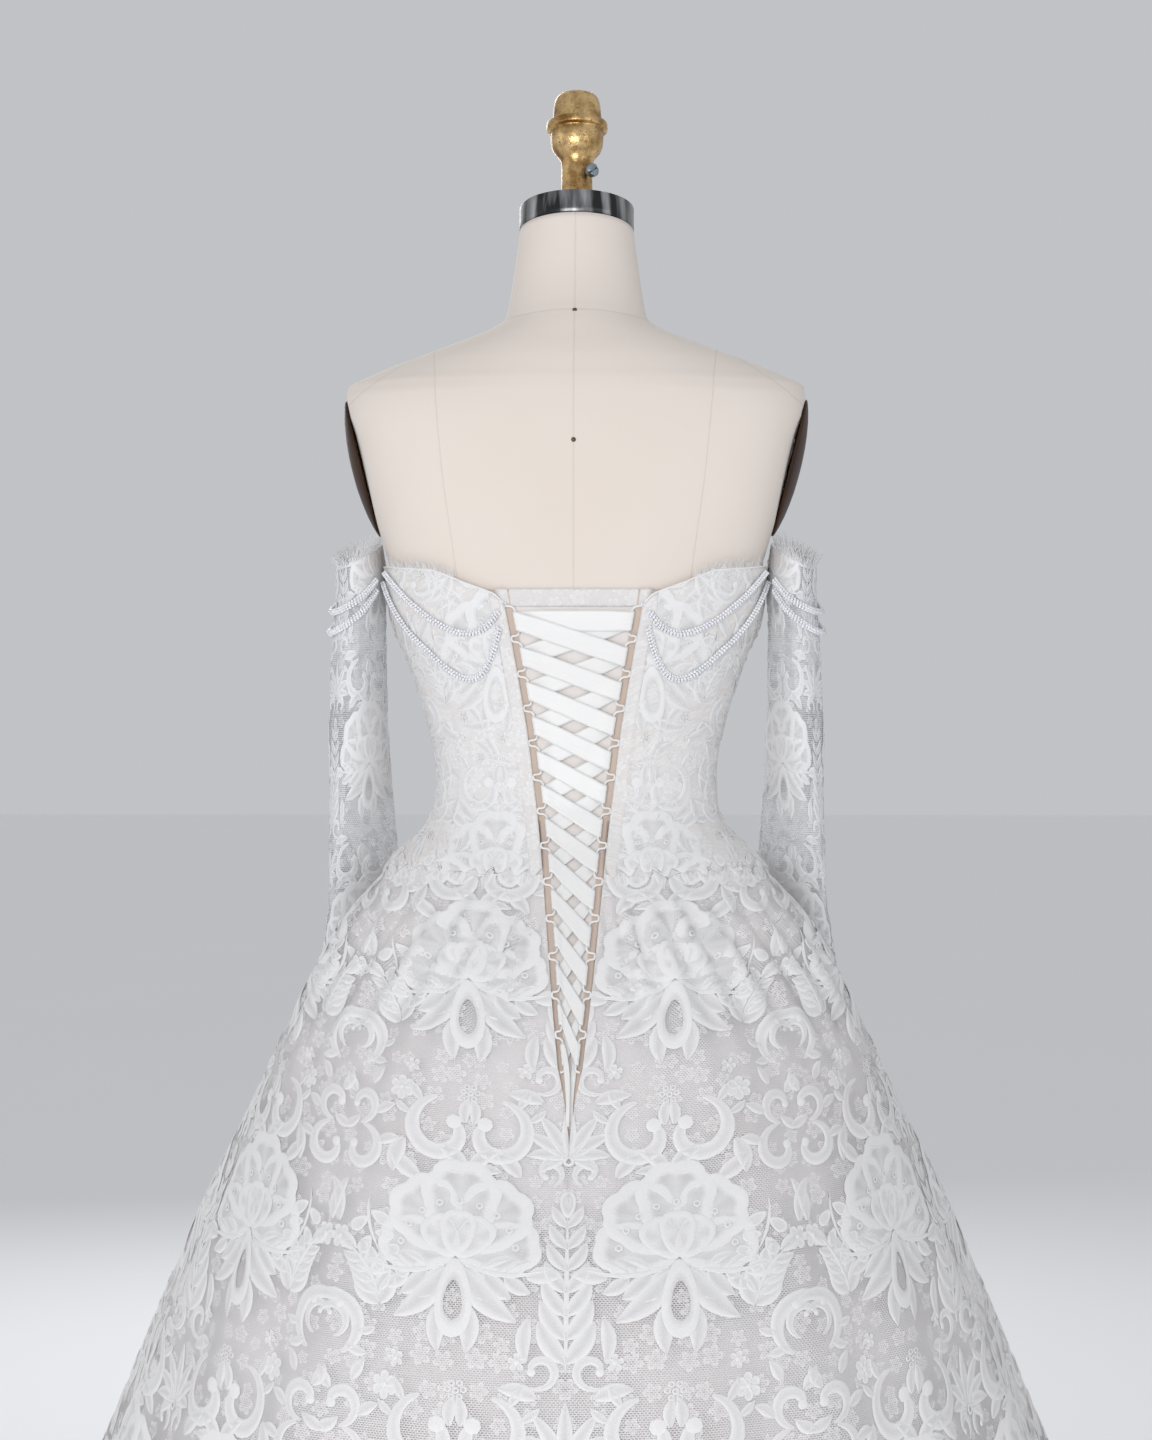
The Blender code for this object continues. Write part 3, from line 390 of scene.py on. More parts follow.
def mix(tree, share, first, second):
    """A colour between two, each a colour or a socket."""
    made = node(tree, "ShaderNodeMix", data_type="RGBA")
    for key, value in (("Factor", share), ("A", first), ("B", second)):
        socket = [s for s in made.inputs if s.name == key and s.enabled][0]
        set_or_link(tree, socket, (*value, 1.0) if isinstance(value, tuple) else value)
    return [s for s in made.outputs if s.enabled][0]


def material(name, colour, roughness, **sockets):
    made = bpy.data.materials.new(name)
    made.use_nodes = True
    shader = made.node_tree.nodes["Principled BSDF"]
    shader.inputs["Base Color"].default_value = (*colour, 1.0)
    shader.inputs["Roughness"].default_value = roughness
    for key, value in sockets.items():
        shader.inputs[key.replace("_", " ")].default_value = value
    return made, made.node_tree, shader


def coordinates(tree, kind="UV"):
    return node(tree, "ShaderNodeTexCoord").outputs[kind]


def noise(tree, vector, scale, detail=3.0, roughness=0.5):
    """Noise at one scale, or at its own scale along each axis."""
    if isinstance(scale, tuple):
        mapping = node(tree, "ShaderNodeMapping", {"Vector": vector, "Scale": scale})
        vector, scale = mapping.outputs["Vector"], 1.0
    inputs = {"Vector": vector, "Scale": scale, "Detail": detail, "Roughness": roughness}
    return node(tree, "ShaderNodeTexNoise", inputs).outputs[0]


def bump(tree, shader, height, distance, strength=1.0):
    inputs = {"Height": height, "Distance": distance, "Strength": strength}
    tree.links.new(node(tree, "ShaderNodeBump", inputs).outputs["Normal"], shader.inputs["Normal"])


def ramp(tree, value, low, high):
    """0 below low, 1 above high, and straight between."""
    inputs = {"Value": value, "From Min": low, "From Max": high}
    return node(tree, "ShaderNodeMapRange", inputs).outputs["Result"]


def along_curve(tree, value, rows):
    """The height, at a value, of a smooth curve through the rows."""
    curve = node(tree, "ShaderNodeFloatCurve", {"Value": value})
    points = curve.mapping.curves[0].points
    points[0].location, points[1].location = rows[0], rows[-1]
    for row in rows[1:-1]:
        points.new(*row)
    curve.mapping.update()
    return curve.outputs[0]


def toned(tree, flat, colour, warm):
    """Slow changes of tone over a cloth."""
    return mix(tree, ramp(tree, noise(tree, flat, 9.0), 0.35, 0.68), colour, warm)


def coloured(tree, shader, share, first, second):
    tree.links.new(mix(tree, share, first, second), shader.inputs["Base Color"])


def roughened(tree, shader, grain, spread, least):
    tree.links.new(maths(tree, "MULTIPLY_ADD", grain, spread, least), shader.inputs["Roughness"])


def net_threads(tree, vector, cell, thread):
    """1 on the threads of a hexagon-like net and 0 in its holes."""
    inputs = {
        "Vector": vector,
        "Color1": (0, 0, 0, 1),
        "Color2": (0, 0, 0, 1),
        "Mortar": (1, 1, 1, 1),
        "Scale": 1.0,
        "Mortar Size": thread / 2,
        "Mortar Smooth": 0.25,
        "Brick Width": cell,
        "Row Height": cell * 0.62,
    }
    return node(tree, "ShaderNodeTexBrick", inputs, offset=0.5, squash=1.0).outputs["Color"]


def plus_share(tree, first, share, second, second_share):
    """share of the first and second_share of the second, added."""
    return maths(tree, "MULTIPLY_ADD", first, share, maths(tree, "MULTIPLY", second, second_share))


def sprigs(tree, flat, spacing, size):
    """Small five-petalled flowers strewn over a cloth: 1 on their petals, and 1 on the petals' edges."""
    inputs = {"Vector": flat, "Scale": 1 / spacing, "Randomness": 0.75}
    cells = node(tree, "ShaderNodeTexVoronoi", inputs, voronoi_dimensions="2D")
    away = node(tree, "ShaderNodeVectorMath", {0: flat, 1: cells.outputs["Position"]}, operation="SUBTRACT")
    x, y = node(tree, "ShaderNodeSeparateXYZ", {"Vector": away.outputs[0]}).outputs[:2]
    colour = node(tree, "ShaderNodeSeparateColor", {"Color": cells.outputs["Color"]}).outputs
    angle = plus_share(tree, maths(tree, "ARCTAN2", y, x), 2.5, colour[0], 6.0)
    reach = maths(tree, "MULTIPLY_ADD", maths(tree, "ABSOLUTE", maths(tree, "COSINE", angle)), 0.55, 0.45)
    reach = maths(tree, "MULTIPLY", reach, maths(tree, "MULTIPLY_ADD", colour[1], 0.5 * size, 0.7 * size))
    far = maths(tree, "SQRT", plus_share(tree, x, x, y, y))
    share = maths(tree, "DIVIDE", far, reach)
    petals = maths(tree, "MULTIPLY", ramp(tree, share, 1.05, 0.92), ramp(tree, share, 0.16, 0.26))
    cord = maths(tree, "MULTIPLY", ramp(tree, share, 0.66, 0.80), petals)
    return petals, cord


def net_material(name, colour, open_alpha, thread_alpha, cell, spacing, size):
    """A fine net with small worked flowers strewn on it."""
    made, tree, shader = material(name, colour, 0.8, Sheen_Weight=0.2, Sheen_Roughness=0.4)
    flat = coordinates(tree)
    petals, cord = sprigs(tree, flat, spacing, size)
    threads = net_threads(tree, flat, cell, cell * 0.30)
    worked = plus_share(tree, cord, 0.45, petals, 0.5)
    threads = maths(tree, "MAXIMUM", threads, worked)
    see = maths(tree, "MULTIPLY_ADD", threads, thread_alpha - open_alpha, open_alpha)
    uneven = maths(tree, "MULTIPLY_ADD", noise(tree, flat, 26.0, 2.0), 0.14, -0.07)
    tree.links.new(maths(tree, "ADD", see, uneven, clamp=True), shader.inputs["Alpha"])
    bump(tree, shader, threads, 0.25 * MM, 0.5)
    return made


def figure_material(name, colour, thin_alpha):
    """Worked lace: solid cords at the edges, thinner cloth work inside, fine threads along it."""
    made, tree, shader = material(name, colour, 0.72, Sheen_Weight=0.25, Sheen_Roughness=0.35)
    cover = node(tree, "ShaderNodeAttribute", attribute_name="cover").outputs["Fac"]
    flat = coordinates(tree)
    threads = noise(tree, flat, (1500, 700, 1), 2.0)
    see = maths(tree, "MULTIPLY_ADD", cover, 1 - thin_alpha, thin_alpha)
    worked = maths(tree, "MULTIPLY_ADD", threads, 0.30, -0.15)
    tree.links.new(maths(tree, "ADD", see, worked, clamp=True), shader.inputs["Alpha"])
    coloured(tree, shader, noise(tree, flat, 110.0), tuple(c * 0.92 for c in colour), colour)
    bump(tree, shader, threads, 0.2 * MM, 0.6)
    return made


def lining_material(name, colour, warm, weave_scale=900.0, sheen=0.2, roughness=0.7, worked=None):
    """Close cloth: a fine weave, slow changes of tone, a soft sheen, and small worked flowers if wanted."""
    made, tree, shader = material(name, colour, roughness, Sheen_Weight=sheen, Sheen_Roughness=0.4)
    flat = coordinates(tree)
    base = toned(tree, flat, colour, warm)
    weave = noise(tree, flat, (0.35 * weave_scale, weave_scale, 1.0), 2.0)
    if worked:
        petals, cord = sprigs(tree, flat, 13 * MM, 6 * MM)
        shifted = node(tree, "ShaderNodeMapping", {"Vector": flat, "Location": (0.4, 0.3, 0)})
        small, small_cord = sprigs(tree, shifted.outputs["Vector"], 7 * MM, 3 * MM)
        large_work = plus_share(tree, cord, 0.5, petals, 0.5)
        small_work = plus_share(tree, small_cord, 0.35, small, 0.35)
        raised = maths(tree, "MAXIMUM", large_work, small_work)
        base = mix(tree, raised, base, worked)
        weave = maths(tree, "MULTIPLY_ADD", weave, 0.12, raised)
    tree.links.new(base, shader.inputs["Base Color"])
    bump(tree, shader, weave, (0.35 if worked else 0.2) * MM, 0.5)
    return made


CURVE_FROM = 0.5  # the height that the opening's curve is read from, so that its values stay below 1


def nude_material(name, colour, warm, edge):
    """The panel behind the lacing: bare, with a painted shadow that darkens a strip beside each edge of the
    opening.
    """
    made, tree, shader = material(name, colour, 0.7, Sheen_Weight=0.2, Sheen_Roughness=0.4)
    x, _, z = node(tree, "ShaderNodeSeparateXYZ", {"Vector": coordinates(tree, "Object")}).outputs[:3]
    heights = (0.80, 0.86, 0.92, 0.98, 1.04, 1.10, 1.16, 1.22)
    rows = [(height - CURVE_FROM, float(opening(height))) for height in heights]
    half_opening = along_curve(tree, maths(tree, "SUBTRACT", z, CURVE_FROM), rows)
    inside = maths(tree, "SUBTRACT", half_opening, maths(tree, "ABSOLUTE", x))
    flat = coordinates(tree)
    # painted shadow: within about 6 mm of each edge of the opening the panel takes the darker edge colour
    coloured(tree, shader, ramp(tree, inside, 7.0 * MM, 5.6 * MM), toned(tree, flat, colour, warm), edge)
    bump(tree, shader, noise(tree, flat, (315, 900, 1), 2.0), 0.2 * MM, 0.5)
    return made


def satin_material(name, colour):
    sockets = dict(Sheen_Weight=0.25, Anisotropic=0.5, Specular_IOR_Level=0.5)
    made, tree, shader = material(name, colour, 0.38, **sockets)
    flat = coordinates(tree)
    pulled = noise(tree, flat, (60, 420, 1))
    weave = noise(tree, flat, (300, 3000, 1), 1.0)
    roughened(tree, shader, pulled, 0.16, 0.30)
    coloured(tree, shader, pulled, tuple(c * 0.96 for c in colour), colour)
    bump(tree, shader, maths(tree, "MULTIPLY_ADD", weave, 0.25, pulled), 0.35 * MM, 0.6)
    return made


# height above 1 m, distance across of the form's side back seams
SIDE_BACK_SEAM = (
    (0.20, 0.092),
    (0.26, 0.100),
    (0.32, 0.108),
    (0.38, 0.114),
    (0.41, 0.1165),
    (0.4251, 0.1185),
)


def cover_material():
    """The form's cover: plain close cotton, with its centre back, side back and neck seams."""
    made, tree, shader = material("form_cover_cloth", (0.84, 0.76, 0.69), 0.85, Sheen_Weight=0.15)
    place_at = coordinates(tree, "Object")
    x, y, z = node(tree, "ShaderNodeSeparateXYZ", {"Vector": place_at}).outputs[:3]
    side = maths(tree, "ABSOLUTE", x)

    def line_at(distance, half_width):
        away = maths(tree, "ABSOLUTE", distance)
        return maths(tree, "SUBTRACT", 1.0, ramp(tree, away, half_width * 0.3, half_width))

    side_back = along_curve(tree, maths(tree, "SUBTRACT", z, 1.0), SIDE_BACK_SEAM)
    princess = line_at(maths(tree, "SUBTRACT", side, side_back), 0.7 * MM)
    neck_line = maths(tree, "MULTIPLY_ADD", maths(tree, "MULTIPLY", side, side), -2.2, 1.4675)
    neck_line = maths(tree, "MULTIPLY_ADD", y, -0.10, neck_line)
    neck = line_at(maths(tree, "SUBTRACT", z, neck_line), 0.9 * MM)
    seams = maths(tree, "MAXIMUM", maths(tree, "MAXIMUM", line_at(x, 0.9 * MM), princess), neck)
    dirt = ramp(tree, noise(tree, place_at, 6.0, 4.0), 0.3, 0.75)
    base = mix(tree, dirt, (0.815, 0.738, 0.672), (0.785, 0.705, 0.635))
    coloured(tree, shader, maths(tree, "MULTIPLY", seams, 0.25), base, (0.55, 0.47, 0.40))
    relief = plus_share(tree, noise(tree, place_at, 1400.0, 2.0), 0.12, seams, -0.45)
    bump(tree, shader, relief, 0.5 * MM, 0.8)
    return made


def metal_material(name, dark, light, roughness, lines, metallic=1.0, contrast=(0.3, 0.7)):
    """Brushed or plain metal: its grain is stretched by the scale along each axis."""
    made, tree, shader = material(name, light, roughness, Metallic=metallic, Anisotropic=0.5)
    grain = noise(tree, coordinates(tree, "Object"), lines)
    roughened(tree, shader, grain, 0.25, roughness - 0.1)
    # colour between dark and light along the grain; on the brushed steel these are painted reflections as
    # well as its brushing
    coloured(tree, shader, ramp(tree, grain, *contrast), dark, light)
    bump(tree, shader, grain, 0.05 * MM, 0.5)
    return made


def brass_material():
    made, tree, shader = material("cast_brass", (0.56, 0.34, 0.11), 0.3, Metallic=1.0)
    place_at = coordinates(tree, "Object")
    grains = noise(tree, place_at, 420.0, 3.0, 0.6)
    painted_light_patches = noise(tree, place_at, 60.0, 4.0, 0.6)
    # painted highlight and shade: random patches run between a bright highlight colour and a darker shaded
    # one
    base = mix(tree, ramp(tree, painted_light_patches, 0.38, 0.66), (0.82, 0.57, 0.27), (0.30, 0.16, 0.05))
    pits = maths(tree, "MULTIPLY", ramp(tree, grains, 0.42, 0.30), 0.75)
    coloured(tree, shader, pits, base, (0.10, 0.05, 0.015))
    roughened(tree, shader, painted_light_patches, 0.28, 0.16)
    bump(tree, shader, grains, 0.5 * MM, 0.7)
    return made


def plate_material():
    made, tree, shader = material("arm_plate_brown", (0.055, 0.026, 0.012), 0.42, Specular_IOR_Level=0.15)
    place_at = coordinates(tree, "Object")
    wear = noise(tree, place_at, 24.0, 4.0)
    coloured(tree, shader, ramp(tree, wear, 0.4, 0.75), (0.034, 0.015, 0.007), (0.062, 0.031, 0.016))
    roughened(tree, shader, wear, 0.25, 0.3)
    bump(tree, shader, noise(tree, place_at, 300.0), 0.15 * MM, 0.5)
    return made


def bead_material():
    made, tree, shader = material("bead_glass", (0.85, 0.85, 0.89), 0.18, Specular_IOR_Level=0.8)
    each = noise(tree, coordinates(tree, "Object"), 700.0, 0.0)
    coloured(tree, shader, ramp(tree, each, 0.35, 0.65), (0.76, 0.765, 0.82), (0.98, 0.98, 0.99))
    roughened(tree, shader, each, 0.25, 0.08)
    return made


LACE_WHITE, SLEEVE_WHITE = (0.885, 0.88, 0.88), (0.88, 0.88, 0.89)
LACE_FIGURES = figure_material("lace_figures", LACE_WHITE, 0.62)
BODICE_FIGURES = figure_material("bodice_figures", LACE_WHITE, 0.62)
SLEEVE_FIGURES = figure_material("sleeve_figures", SLEEVE_WHITE, 0.60)
SKIRT_NET = net_material("skirt_net", (0.88, 0.865, 0.865), 0.04, 0.80, 2.6 * MM, 19 * MM, 7.5 * MM)
SLEEVE_NET = net_material("sleeve_net", (0.82, 0.82, 0.84), 0.06, 0.72, 2.7 * MM, 15 * MM, 5.5 * MM)
BODICE_CLOTH = lining_material(
    "bodice_cloth", (0.765, 0.75, 0.745), (0.765, 0.725, 0.695), 1100.0, worked=(0.86, 0.855, 0.85)
)
BAND = lining_material(
    "sheer_band", (0.76, 0.74, 0.725), (0.74, 0.715, 0.70), 1000.0, worked=(0.83, 0.825, 0.82)
)
UNDERSKIRT = lining_material("underskirt_cloth", (0.87, 0.85, 0.855), (0.88, 0.83, 0.815), 700.0, 0.3, 0.6)
# the last colour is the panel's painted shadow beside the opening's edges
NUDE = nude_material("nude_cloth", (0.87, 0.82, 0.785), (0.88, 0.835, 0.80), (0.66, 0.54, 0.46))
SATIN = satin_material("white_satin", (0.885, 0.88, 0.87))
THREAD = figure_material("lash_thread", (0.88, 0.88, 0.885), 0.9)
COVER = cover_material()
# brushed steel: its near-black and bright broad streaks round the cap are painted reflections of a dark room
# and bright lamps, over its real brushing
STEEL = metal_material(
    "brushed_steel", (0.045, 0.045, 0.048), (0.52, 0.52, 0.53), 0.28, (90, 90, 1.2), contrast=(0.40, 0.68)
)
ZINC = metal_material("zinc", (0.25, 0.29, 0.33), (0.42, 0.47, 0.52), 0.34, 300.0)
TACK_STEEL = metal_material("tack_steel", (0.12, 0.09, 0.07), (0.20, 0.15, 0.11), 0.4, 300.0)
STAND_BLACK = metal_material("stand_black", (0.025, 0.025, 0.028), (0.045, 0.045, 0.048), 0.5, 12.0, 0.3)
BRASS, PLATE_BROWN, BEADS = brass_material(), plate_material(), bead_material()


# ---------------------------------------------------------------- meshes


def surface(name, points, faces, finish, flat=None, cover=None):
    """A smooth mesh from arrays, with its flat coordinates as UVs and its cover as an attribute."""
    mesh = bpy.data.meshes.new(name)
    mesh.from_pydata(np.asarray(points, float).reshape(-1, 3).tolist(), [], np.asarray(faces).tolist())
    mesh.polygons.foreach_set("use_smooth", np.ones(len(mesh.polygons), bool))
    if flat is not None:
        layer = mesh.uv_layers.new(name="flat")
        loops = np.empty(len(mesh.loops), int)
        mesh.loops.foreach_get("vertex_index", loops)
        layer.data.foreach_set("uv", np.asarray(flat, float).reshape(-1, 2)[loops].ravel())
    if cover is not None:
        values = mesh.attributes.new("cover", "FLOAT", "POINT")
        values.data.foreach_set("value", np.asarray(cover, float).ravel())
    mesh.materials.append(finish)
    mesh.update()
    thing = bpy.data.objects.new(name, mesh)
    bpy.context.scene.collection.objects.link(thing)
    return thing


def grid_faces(rows, columns, closed=False):
    """Quads of a grid whose rows go up and run on with the turn, facing out."""
    across = columns if closed else columns - 1
    row, column = np.meshgrid(np.arange(rows - 1), np.arange(across), indexing="ij")
    after = (column + 1) % columns
    low, high = row * columns, (row + 1) * columns
    return np.stack([low + column, high + column, high + after, low + after], axis=-1).reshape(-1, 4)


def shell(name, grid, finish, flat, thickness=0.0, closed=False):
    rows, columns = grid.shape[:2]
    thing = surface(name, grid, grid_faces(rows, columns, closed), finish, flat)
    if thickness:
        wall = thing.modifiers.new("wall", "SOLIDIFY")
        wall.thickness = thickness
        wall.offset = 0.0
    return thing


def joined_meshes(pieces):
    """Points and faces of many pieces as those of one."""
    points, faces, count = [], [], 0
    for some_points, some_faces in pieces:
        points.append(some_points.reshape(-1, 3))
        faces.append(some_faces + count)
        count += len(points[-1])
    return np.concatenate(points), np.concatenate(faces)


def on_side(sign, points, faces):
    """The left side's points and faces, or their mirror image."""
    return (points, faces) if sign > 0 else (points * MIRROR, faces[:, ::-1])


def shell_on(sign, name, grid, finish, flat, thickness=0.0, closed=False):
    """A shell on the left side's grid, or on its mirror image."""
    if sign < 0:
        grid, flat = grid[:, ::-1] * MIRROR, flat[:, ::-1]
    return shell(name, grid, finish, flat, thickness, closed)


def place(piece, slot, *replaced):
    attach(piece, "root")
    if replaced:
        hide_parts(*replaced)
    return piece


def revolve(name, profile, steps, finish):
    """A profile of radius and height, from its top down, swept round Z."""
    profile = np.array(profile, float)
    angles = np.radians(np.arange(0, 360, 360 / steps))
    ring = np.stack([np.cos(angles), np.sin(angles)], axis=-1)
    heights = np.repeat(profile[:, None, 1:], steps, axis=1)
    points = np.concatenate([profile[:, None, :1] * ring[None], heights], axis=-1)
    return shell(name, points, finish, np.stack(np.meshgrid(angles, profile[:, 1]), -1), closed=True)


def smooth_path(points, steps):
    """A Catmull-Rom curve through the points."""
    points = np.asarray(points, float)
    ends = np.concatenate([2 * points[:1] - points[1:2], points, 2 * points[-1:] - points[-2:-1]])
    t = np.linspace(0, 1, steps, endpoint=False)[:, None]
    made = []
    for a, b, c, d in zip(ends, ends[1:], ends[2:], ends[3:]):
        square, cube = (2 * a - 5 * b + 4 * c - d) * t**2, (3 * b - a - 3 * c + d) * t**3
        made.append(0.5 * (2 * b + (c - a) * t + square + cube))
    return np.concatenate(made + [points[-1:]])


def run_along(path):
    """The distance along a path at each of its points."""
    return np.concatenate([[0], np.cumsum(np.linalg.norm(np.diff(path, axis=0), axis=-1))])


def read_along(distance, run, values):
    """Rows of three values, read at distances along a path."""
    return np.stack([np.interp(distance, run, values[:, k]) for k in range(3)], -1)


def sweep(path, radius, sides):
    """Points and faces of a round tube along a path, open at its ends."""
    path = np.asarray(path, float)
    along = unit(np.gradient(path, axis=0))
    up = np.tile([0.0, 0.03, 1.0], (len(path), 1))
    side = np.cross(along, up)
    weak = np.linalg.norm(side, axis=1) < 0.2
    side[weak] = np.cross(along[weak], [0.0, 1.0, 0.0])
    side = unit(side)
    other = np.cross(along, side)
    angles = np.radians(np.arange(0, 360, 360 / sides))
    cosine, sine = np.cos(angles)[None, :, None], np.sin(angles)[None, :, None]
    ring = cosine * side[:, None] + sine * other[:, None]
    return path[:, None] + radius * ring, grid_faces(len(path), sides, True)


# ---------------------------------------------------------------- lace figures, drawn flat
# A figure is a list of parts. A part is x, y (up), raise above the net and cover, each rows by columns.
CORD = 0.5 * MM  # how high the cords of a figure's outline stand


def line_along(length, bend, rows):
    """A line that starts upward and bends evenly to its right: x, y and its heading at each row."""
    heading = bend * np.linspace(0, 1, rows)
    step = length / (rows - 1)
    x = np.concatenate([[0], np.cumsum(np.sin(heading))[:-1]]) * step
    y = np.concatenate([[0], np.cumsum(np.cos(heading))[:-1]]) * step
    return x, y, heading


def band(x, y, heading, half, vein):
    """A strip along a line: a cord down each edge, cloth work, and a thin vein down its middle."""
    columns = np.array([-1, -0.8, -0.14, 0.14, 0.8, 1])
    shape = np.ones((len(x), 1))
    across = half[:, None] * columns
    return [
        (
            x[:, None] + np.cos(heading)[:, None] * across,
            y[:, None] - np.sin(heading)[:, None] * across,
            np.array([0.1, 1.0, 0.45, 0.45, 1.0, 0.1]) * CORD * shape,
            np.array([0.9, 1.0, vein, vein, 1.0, 0.9]) * shape,
        )
    ]


def leaf(length, width, bend=0.0, rows=9, vein=0.3):
    x, y, heading = line_along(length, bend, rows)
    t = np.linspace(0, 1, rows)
    half = width / 2 * np.sin(np.pi * np.clip(t, 0.03, 0.985) ** 0.85) ** 0.75
    return band(x, y, heading, half, vein)


def scroll(size, width, turned=300, rows=20, tighten=0.6, blob=0.0):
    """A C scroll that winds inward, with a round blob at its inner end."""
    t = np.linspace(0, 1, rows)
    angle = math.radians(turned) * t
    radius = size * (1 - tighten * t**0.9)
    x, y = radius * np.sin(angle), radius * np.cos(angle)
    heading = np.arctan2(np.gradient(x), np.gradient(y))
    half = width / 2 * (0.22 + 0.78 * np.sin(np.pi * np.clip(t * 0.95, 0, 1)) ** 0.7)
    parts = band(x, y, np.unwrap(heading), half, 0.55)
    return parts + moved(dot(blob), x[-1], y[-1], raised=0.25 * MM) if blob else parts


def petal(length, width, hole=0.0, lobes=0, rows=20, tip=0.5, thin=0.25, depth=0.11):
    """A petal standing on its base: lobed round its tip, corded, thin inside and veined, or holed."""
    a = np.linspace(0, 2 * np.pi, rows + 1)
    s = (1 - np.cos(a)) / 2
    x = width / 2 * np.sin(a) * (1 - tip / 2 + tip * s)
    y = length * s
    middle = 0.56 * length
    if lobes:
        grow = 1 + depth * np.abs(np.sin(lobes * a / 2)) * np.sqrt(s)
        x, y = x * grow, middle + (y - middle) * grow
    if hole:
        rings = [(1.0, 0.1, 0.9), (0.92, 1.0, 1.0), (0.72, 0.5, 0.95), (hole, 0.3, 0.3)]
    else:
        rings = [(1.0, 0.1, 0.9), (0.93, 1.0, 1.0), (0.74, 0.55, 0.95), (0.60, 0.25, thin), (0.04, 0.45, 0.6)]
    scales, lift, cover = np.array(rings).T
    shape = np.ones((rows + 1, 1))
    cover = cover * shape
    if lobes and not hole:
        cover[:, 3] += 0.25 * np.cos(lobes * a)
    up = middle + (y[:, None] - middle) * scales
    return [(x[:, None] * scales, up, lift * CORD * shape, np.clip(cover, 0, 1))]


def round_part(radius, rows, rings):
    """A round part from rings of share of the radius and height in cords."""
    a = np.linspace(0, 2 * np.pi, rows + 1)[:, None]
    shape = np.ones((rows + 1, 1))
    shares, lift = np.array(rings).T
    scales = shares * radius
    return [(np.sin(a) * scales, -np.cos(a) * scales, lift * CORD * shape, shape * np.ones(len(rings)))]


def dot(radius, rows=8):
    return round_part(radius, rows, [(1.0, 0.2), (0.6, 1.1), (0.02, 1.3)])


def eyelet(radius, rows=8):
    return round_part(radius, rows, [(1.0, 0.2), (0.74, 1.2), (0.45, 0.2)])


def moved(parts, x=0.0, y=0.0, angle=0.0, scale=1.0, flip=False, raised=0.0):
    """Parts flipped, scaled, turned clockwise from upright and put in their place."""
    turn = math.radians(angle)
    c, s = math.cos(turn), math.sin(turn)
    made = []
    for px, py, lift, cover in parts:
        px = -px if flip else px
        made.append((x + scale * (px * c + py * s), y + scale * (py * c - px * s), lift + raised, cover))
    return made


def both(parts):
    return parts + moved(parts, flip=True)


def arranged(rows):
    """Parts from rows of piece, x, y and angle, with x and y in millimetres, and an optional raise."""
    parts = []
    for piece, x, y, angle, *raised in rows:
        parts += moved(piece, x * MM, y * MM, angle, raised=(raised[0] if raised else 0) * MM)
    return parts


def fan(piece, angles, x=0.0, y=0.0, raised=0.0):
    return arranged([(piece, x, y, angle, raised) for angle in angles])


def lobed_leaf(length, bend, lobes, wide):
    """A leaf of overlapping lobes along a bending rib, as on acanthus."""
    x, y, heading = line_along(length, bend, lobes + 2)
    parts = []
    for k in range(lobes):
        size = 1 - 0.5 * k / lobes
        for side in (1, -1):
            lobe = leaf(wide * 1.15 * size, wide * 0.62 * size, -0.6 * side, 7, 0.35)
            parts += moved(lobe, x[k], y[k], math.degrees(heading[k]) + side * 48, raised=0.04 * MM * k)
    tip = leaf(length * 0.42, wide * 0.5, 0.3, 8, 0.5)
    parts += moved(tip, x[-2], y[-2], math.degrees(heading[-2]), raised=0.2 * MM)
    return parts + moved(leaf(length, wide * 0.14, bend, 9, 0.9), raised=0.45 * MM)


def peony():
    """A full flower seen from its side: wide lobed petals, a cup, and leaves that hang below."""
    outer, side = petal(55 * MM, 44 * MM, 0, 8, 40), petal(50 * MM, 34 * MM, 0, 6, 30)
    parts = fan(side, (80, -80), 0, 2, 0.05)
    parts += fan(outer, (40, -40), 0, 4, 0.15) + fan(petal(58 * MM, 46 * MM, 0, 8, 40), (0,), 0, 6, 0.3)
    parts += fan(petal(31 * MM, 21 * MM, 0, 4, 20, thin=0.7), (36, -36), 0, 0, 0.65)
    parts += fan(petal(30 * MM, 21 * MM, 0, 4, 20, thin=0.7), (0,), 0, 1, 0.9)
    for angle in range(-80, 81, 20):
        turn = math.radians(angle)
        across, up = 36 * MM * math.sin(turn), (36 * math.cos(turn) + 1) * MM
        parts += moved(eyelet(2.7 * MM, 6), across, up, raised=1.0 * MM)
    parts += fan(petal(50 * MM, 22 * MM, 0.50, 0, 20), (180,), 0, -1, 0.5)
    parts += both(moved(lobed_leaf(50 * MM, -0.8, 3, 24 * MM), 6 * MM, -5 * MM, 112))
    hanging, low = leaf(46 * MM, 16 * MM, -0.7, 9), leaf(30 * MM, 12 * MM, 0.5, 7)
    return parts + both(arranged([(hanging, 5, -8, 152, 0.2), (low, 8, -30, 168, 0.1)]))


def scroll_pair():
    """Two C scrolls back to back on a pair of leaves."""
    rows = [
        (scroll(25 * MM, 12 * MM, 300, 22, 0.58, 5.5 * MM), 19, 0, 8),
        (leaf(30 * MM, 11 * MM, 0.9), 1, -30, 26, 0.1),
        (leaf(22 * MM, 9 * MM, 0.7), 2, -30, 66, 0.1),
        (leaf(17 * MM, 7 * MM, -0.5, 6), 33, 20, 40, 0.1),
        (leaf(15 * MM, 6 * MM, -0.5, 6), 41, 10, 62, 0.1),
        (leaf(20 * MM, 8 * MM, -0.8, 7), 3, 6, 12, 0.1),
    ]
    return both(arranged(rows))


def daisy(size, count=6):
    angles = [360 / count * k for k in range(count)]
    parts = fan(petal(size * MM, size * 0.66 * MM, 0, 0, 9, 0.8, 0.8), angles)
    return parts + moved(dot(2.3 * MM, 6), raised=0.6 * MM)


